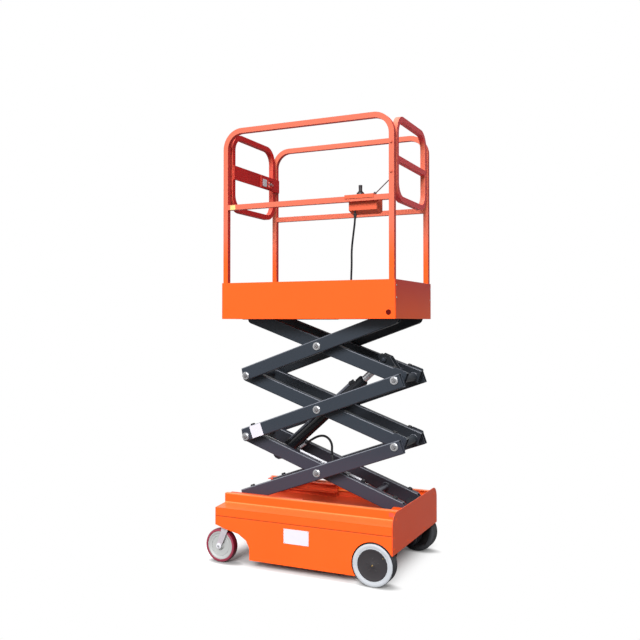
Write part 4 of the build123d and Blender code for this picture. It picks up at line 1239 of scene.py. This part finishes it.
class SCISSOR_OT_cylinder(bpy.types.Operator):
    """Add the gland, the pipe nuts, the hose fittings and the pin rings of the lift cylinder"""

    bl_idname = "scissor.cylinder"
    bl_label = "Cylinder fittings"

    def execute(self, context):
        settings = context.scene.scissor_cylinder
        foot = Vector(JOINT["cylinder_swing"]["pos_m"])
        along = Vector(JOINT["cylinder_stroke"]["axis"]).normalized()
        upper = Vector((-along.z, 0.0, along.x))
        end = foot + along * settings.barrel
        radius = settings.radius

        gland = Shape()
        ring = ((0.0212, 0.0), (0.0285, 0.0), (0.0295, 0.001), (0.0295, 0.0035), (0.0262, 0.0060),
                (0.0212, 0.0060),
                (0.0212, 0.0))
        gland.turned(end + along * 0.0002, along, ring, 56)
        gland.turned(end - along * 0.0325, along,
                     ((radius - 0.001, 0.0), (radius + 0.0035, 0.0005), (radius + 0.0035, 0.0022),
                      (radius - 0.001, 0.0028)), 56)
        for k in range(4):
            angle = math.radians(90 * k + 35)
            out = ACROSS * math.cos(angle) + upper * math.sin(angle)
            place = end - along * 0.014 + out * (radius + 0.0023)
            gland.turned(place, out,
                         ((0.0, 0.0004), (0.0028, 0.0004), (0.0031, 0.0012), (0.0042, 0.0012),
                          (0.0042, -0.001)), 20)
        gland.weld_ring(foot + along * 0.0345, along, radius * 0.985, 0.0026)
        gland.piece("cylinder_gland", "barrel", "cylinder_paint")
        wiper = ((0.0207, 0.0), (0.0250, 0.0), (0.0243, 0.0022), (0.0214, 0.0036), (0.0207, 0.0036),
                 (0.0207, 0.0))
        Shape().turned(end + along * 0.0063, along, wiper, 56).piece("rod_wiper", "barrel", "hose_rubber")

        feed = foot + upper * (radius + 0.0095)
        nuts = Shape()
        for start, way in ((0.042, 1), (settings.barrel - 0.066, -1)):
            nuts.turned(feed + along * start, along * way,
                        ((0.0086, 0.0), (0.0130, 0.0), (0.0130, 0.011), (0.0118, 0.012),
                                                            (0.0105, 0.017), (0.0086, 0.018)), 6)
        nuts.piece("feed_pipe_nuts", "barrel", "box_black", edge=0.0003)
        skin = ((0.00855, 0.0), (0.0091, 0.0006), (0.0091, 0.5226), (0.00855, 0.5232))
        Shape().turned(feed + along * 0.0605, along, skin, 32).piece("feed_pipe_skin", "barrel", "pipe_grey")

        start = Vector(HOSE_ROUTE[0])
        lead = (Vector(HOSE_ROUTE[1]) - start).normalized()
        fitting = Shape()
        fitting.turned(start - lead * 0.015, lead,
                       ((0.0, 0.0), (0.0110, 0.0), (0.0110, 0.012), (0.0100, 0.013), (0.0, 0.013)), 6)
        sleeve = ((0.0074, 0.0), (0.0098, 0.0), (0.0098, 0.007), (0.0086, 0.008), (0.0086, 0.012),
                  (0.0094, 0.013), (0.0094, 0.022),
                  (0.0088, 0.023), (0.0088, 0.026), (0.0094, 0.027), (0.0094, 0.040), (0.0086, 0.0425),
                  (0.0074, 0.0425))
        fitting.turned(start + lead * 0.0005, lead, sleeve, 32)
        fitting.piece("hose_sleeve", "barrel", "fitting_grey", edge=0.0002)

        rings = Shape()
        eye = foot + along * settings.length
        for side in (-1, 1):
            rings.turned(eye + ACROSS * side * 0.0172, ACROSS * side,
                         ((0.0145, 0.0), (0.0190, 0.0), (0.0190, 0.0055), (0.0145, 0.0055), (0.0145, 0.0)),
                         36)
        rings.piece("eye_pin_rings", "inner_3", "zinc", edge=0.0003)
        rings = Shape()
        for side in (-1, 1):
            rings.hex_bolt(eye + ACROSS * side * 0.041, ACROSS * side, 0.014, 0.006, washer=0.0118)
        rings.piece("eye_pin_bolts", "inner_3", "arm_paint", edge=0.0003)
        rings = Shape()
        for side in (-1, 1):
            rings.turned(foot + ACROSS * side * 0.0265, ACROSS * side,
                         ((0.0203, 0.0), (0.0255, 0.0), (0.0265, 0.001), (0.0265, 0.009), (0.0255, 0.010),
                          (0.0203, 0.010),
                          (0.0203, 0.0)), 48)
        rings.piece("foot_pin_collars", "inner_1", "arm_paint")

        line = ArmLine(1, -1)
        pipe_low, pipe_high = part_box("hydraulic_pipe")
        pipe_y = (pipe_low.y + pipe_high.y) / 2
        pipe_n = line.half_depth + 0.0068
        clips = Shape()
        for u in (-0.150, 0.020):
            seat = line.spot(u, line.half_depth + 0.0002, pipe_y)
            hoop = [(-0.0166, 0.0), (-0.0166, 0.0016), (-0.0086, 0.0016)]
            for k in range(13):
                angle = math.radians(180 - 15 * k)
                hoop.append((0.0083 * math.cos(angle), 0.0068 + 0.0083 * math.sin(angle)))
            hoop += [(0.0083, 0.0016), (0.0166, 0.0016), (0.0166, 0.0), (0.0069, 0.0)]
            for k in range(13):
                angle = math.radians(15 * k)
                hoop.append((0.0067 * math.cos(angle), 0.0068 + 0.0067 * math.sin(angle)))
            hoop.append((-0.0069, 0.0))
            clips.cut(seat - line.along * 0.007, ACROSS, line.up, hoop, line.along * 0.014)
            for side in (-1, 1):
                clips.round_head(seat + ACROSS * side * 0.0125 + line.up * 0.0016, line.up, 0.0034, 0.0022)
        clips.piece("pipe_clips", "inner_1", "zinc")
        ends = Shape()
        for place, way in ((line.spot(-0.2505, pipe_n, pipe_y), 1), (line.spot(0.1975, pipe_n, pipe_y), -1)):
            ends.turned(place, line.along * way,
                        ((0.0, -0.004), (0.0090, -0.004), (0.0105, -0.002), (0.0105, 0.013), (0.0095, 0.014),
                                                  (0.0068, 0.019), (0.0067, 0.0192)), 6)
        ends.piece("pipe_end_nuts", "inner_1", "box_black", edge=0.0003)
        return {"FINISHED"}


def smooth_line(name, route, radius=0.0):
    """A curve object whose spline has the route as its control points."""
    curve = bpy.data.curves.new(name, "CURVE")
    curve.dimensions = "3D"
    spline = curve.splines.new("NURBS")
    spline.points.add(len(route) - 1)
    for knot, point in zip(spline.points, route):
        knot.co = (*point, 1.0)
    spline.order_u = 3
    spline.use_endpoint_u = True
    spline.resolution_u = 14
    curve.bevel_depth = radius
    curve.bevel_resolution = 6
    curve.use_fill_caps = radius > 0.0
    return bpy.data.objects.new(name, curve)


def run_length(points):
    """The length of a line through the points."""
    return sum((b - a).length for a, b in zip(points, points[1:]))


def line_points(name, route):
    """Points along the smooth line of a route, in order."""
    holder = smooth_line(name, route)
    mesh = bpy.data.meshes.new_from_object(holder)
    points = [vertex.co.copy() for vertex in mesh.vertices]
    bpy.data.meshes.remove(mesh)
    bpy.data.objects.remove(holder)
    return points


class SCISSOR_OT_cords(bpy.types.Operator):
    """Make the hydraulic hose and the control cable, with what they leave and enter"""

    bl_idname = "scissor.cords"
    bl_label = "Hose and cable"

    def execute(self, context):
        settings = context.scene.scissor_cylinder
        points = line_points("hose_line", HOSE_ROUTE)
        tube = Shape().swept(points, settings.hose / 2, sides=28, beside=ACROSS)
        hose = tube.piece("hydraulic_hose_run", None, "hose_rubber", replaced=["hydraulic_hose"])
        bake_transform(hose)
        tail = Shape()
        last = points[-1]
        down = (points[-1] - points[-4]).normalized()
        tail.turned(last - down * 0.030, down,
                    ((0.0074, 0.0), (0.0090, 0.0), (0.0090, 0.022), (0.0080, 0.023), (0.0080, 0.026),
                                                (0.0100, 0.027), (0.0100, 0.034), (0.0, 0.034)), 32)
        tail.piece("hose_tail_sleeve", "inner_1", "box_black", edge=0.0002)

        cable = smooth_line("control_cable_run", CABLE_ROUTE, settings.cable / 2)
        context.scene.collection.objects.link(cable)
        cable.data.materials.append(slot_finish("hose_rubber"))
        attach(cable, "platform")
        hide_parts("control_cable")
        length = run_length(line_points("cable_line", CABLE_ROUTE))
        relief = Shape()
        box_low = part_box("control_box")[0]
        top = Vector((CABLE_ROUTE[0][0] + 0.0004, CABLE_ROUTE[0][1], box_low.z - 0.0001))
        collar = ((0.0057, 0.0), (0.0105, 0.0), (0.0105, 0.005), (0.0092, 0.006), (0.0086, 0.010),
                  (0.0078, 0.016), (0.0070, 0.021),
                  (0.0062, 0.026), (0.0057, 0.026), (0.0057, 0.0))
        relief.turned(top, -UP, collar, 32)
        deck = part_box("platform_deck")[1].z
        foot = Vector((CABLE_ROUTE[-1][0], CABLE_ROUTE[-1][1], deck))
        relief.turned(foot, UP,
                      ((0.0057, 0.0), (0.0150, 0.0), (0.0150, 0.0025), (0.0110, 0.0045), (0.0085, 0.009),
                       (0.0057, 0.010),
                                 (0.0057, 0.0)), 32)
        relief.piece("cable_reliefs", "platform", "box_black")
        return {"FINISHED"}


class SCISSOR_PT_panel(bpy.types.Panel):
    """Sizes, colours and buttons"""

    bl_label = "Scissor Lift"
    bl_idname = "SCISSOR_PT_panel"
    bl_space_type = "VIEW_3D"
    bl_region_type = "UI"
    bl_category = "Scissor Lift"

    def draw(self, context):
        column = self.layout.column()
        for group in GROUPS:
            settings = getattr(context.scene, group)
            for key in settings.__annotations__:
                column.prop(settings, key)
        for operator in OPERATORS:
            column.operator(operator.bl_idname)


GROUPS = {
    "scissor_look": SCISSOR_PG_look,
    "scissor_arms": SCISSOR_PG_arms,
    "scissor_wheels": SCISSOR_PG_wheels,
    "scissor_cylinder": SCISSOR_PG_cylinder,
    "scissor_stage": SCISSOR_PG_stage,
}
OPERATORS = (
    SCISSOR_OT_stage,
    SCISSOR_OT_paint,
    SCISSOR_OT_pins,
    SCISSOR_OT_arm_fittings,
    SCISSOR_OT_drive_wheels,
    SCISSOR_OT_casters,
    SCISSOR_OT_chassis,
    SCISSOR_OT_platform,
    SCISSOR_OT_gate,
    SCISSOR_OT_controls,
    SCISSOR_OT_cylinder,
    SCISSOR_OT_cords,
)


def register():
    for kind in (*GROUPS.values(), *OPERATORS, SCISSOR_PT_panel):
        bpy.utils.register_class(kind)
    for name, kind in GROUPS.items():
        setattr(bpy.types.Scene, name, PointerProperty(type=kind))


def unregister():
    for name in GROUPS:
        delattr(bpy.types.Scene, name)
    for kind in reversed((*GROUPS.values(), *OPERATORS, SCISSOR_PT_panel)):
        bpy.utils.unregister_class(kind)


def main():
    register()
    for operator in OPERATORS:
        family, verb = operator.bl_idname.split(".")
        getattr(getattr(bpy.ops, family), verb)()


if __name__ == "__main__":
    main()
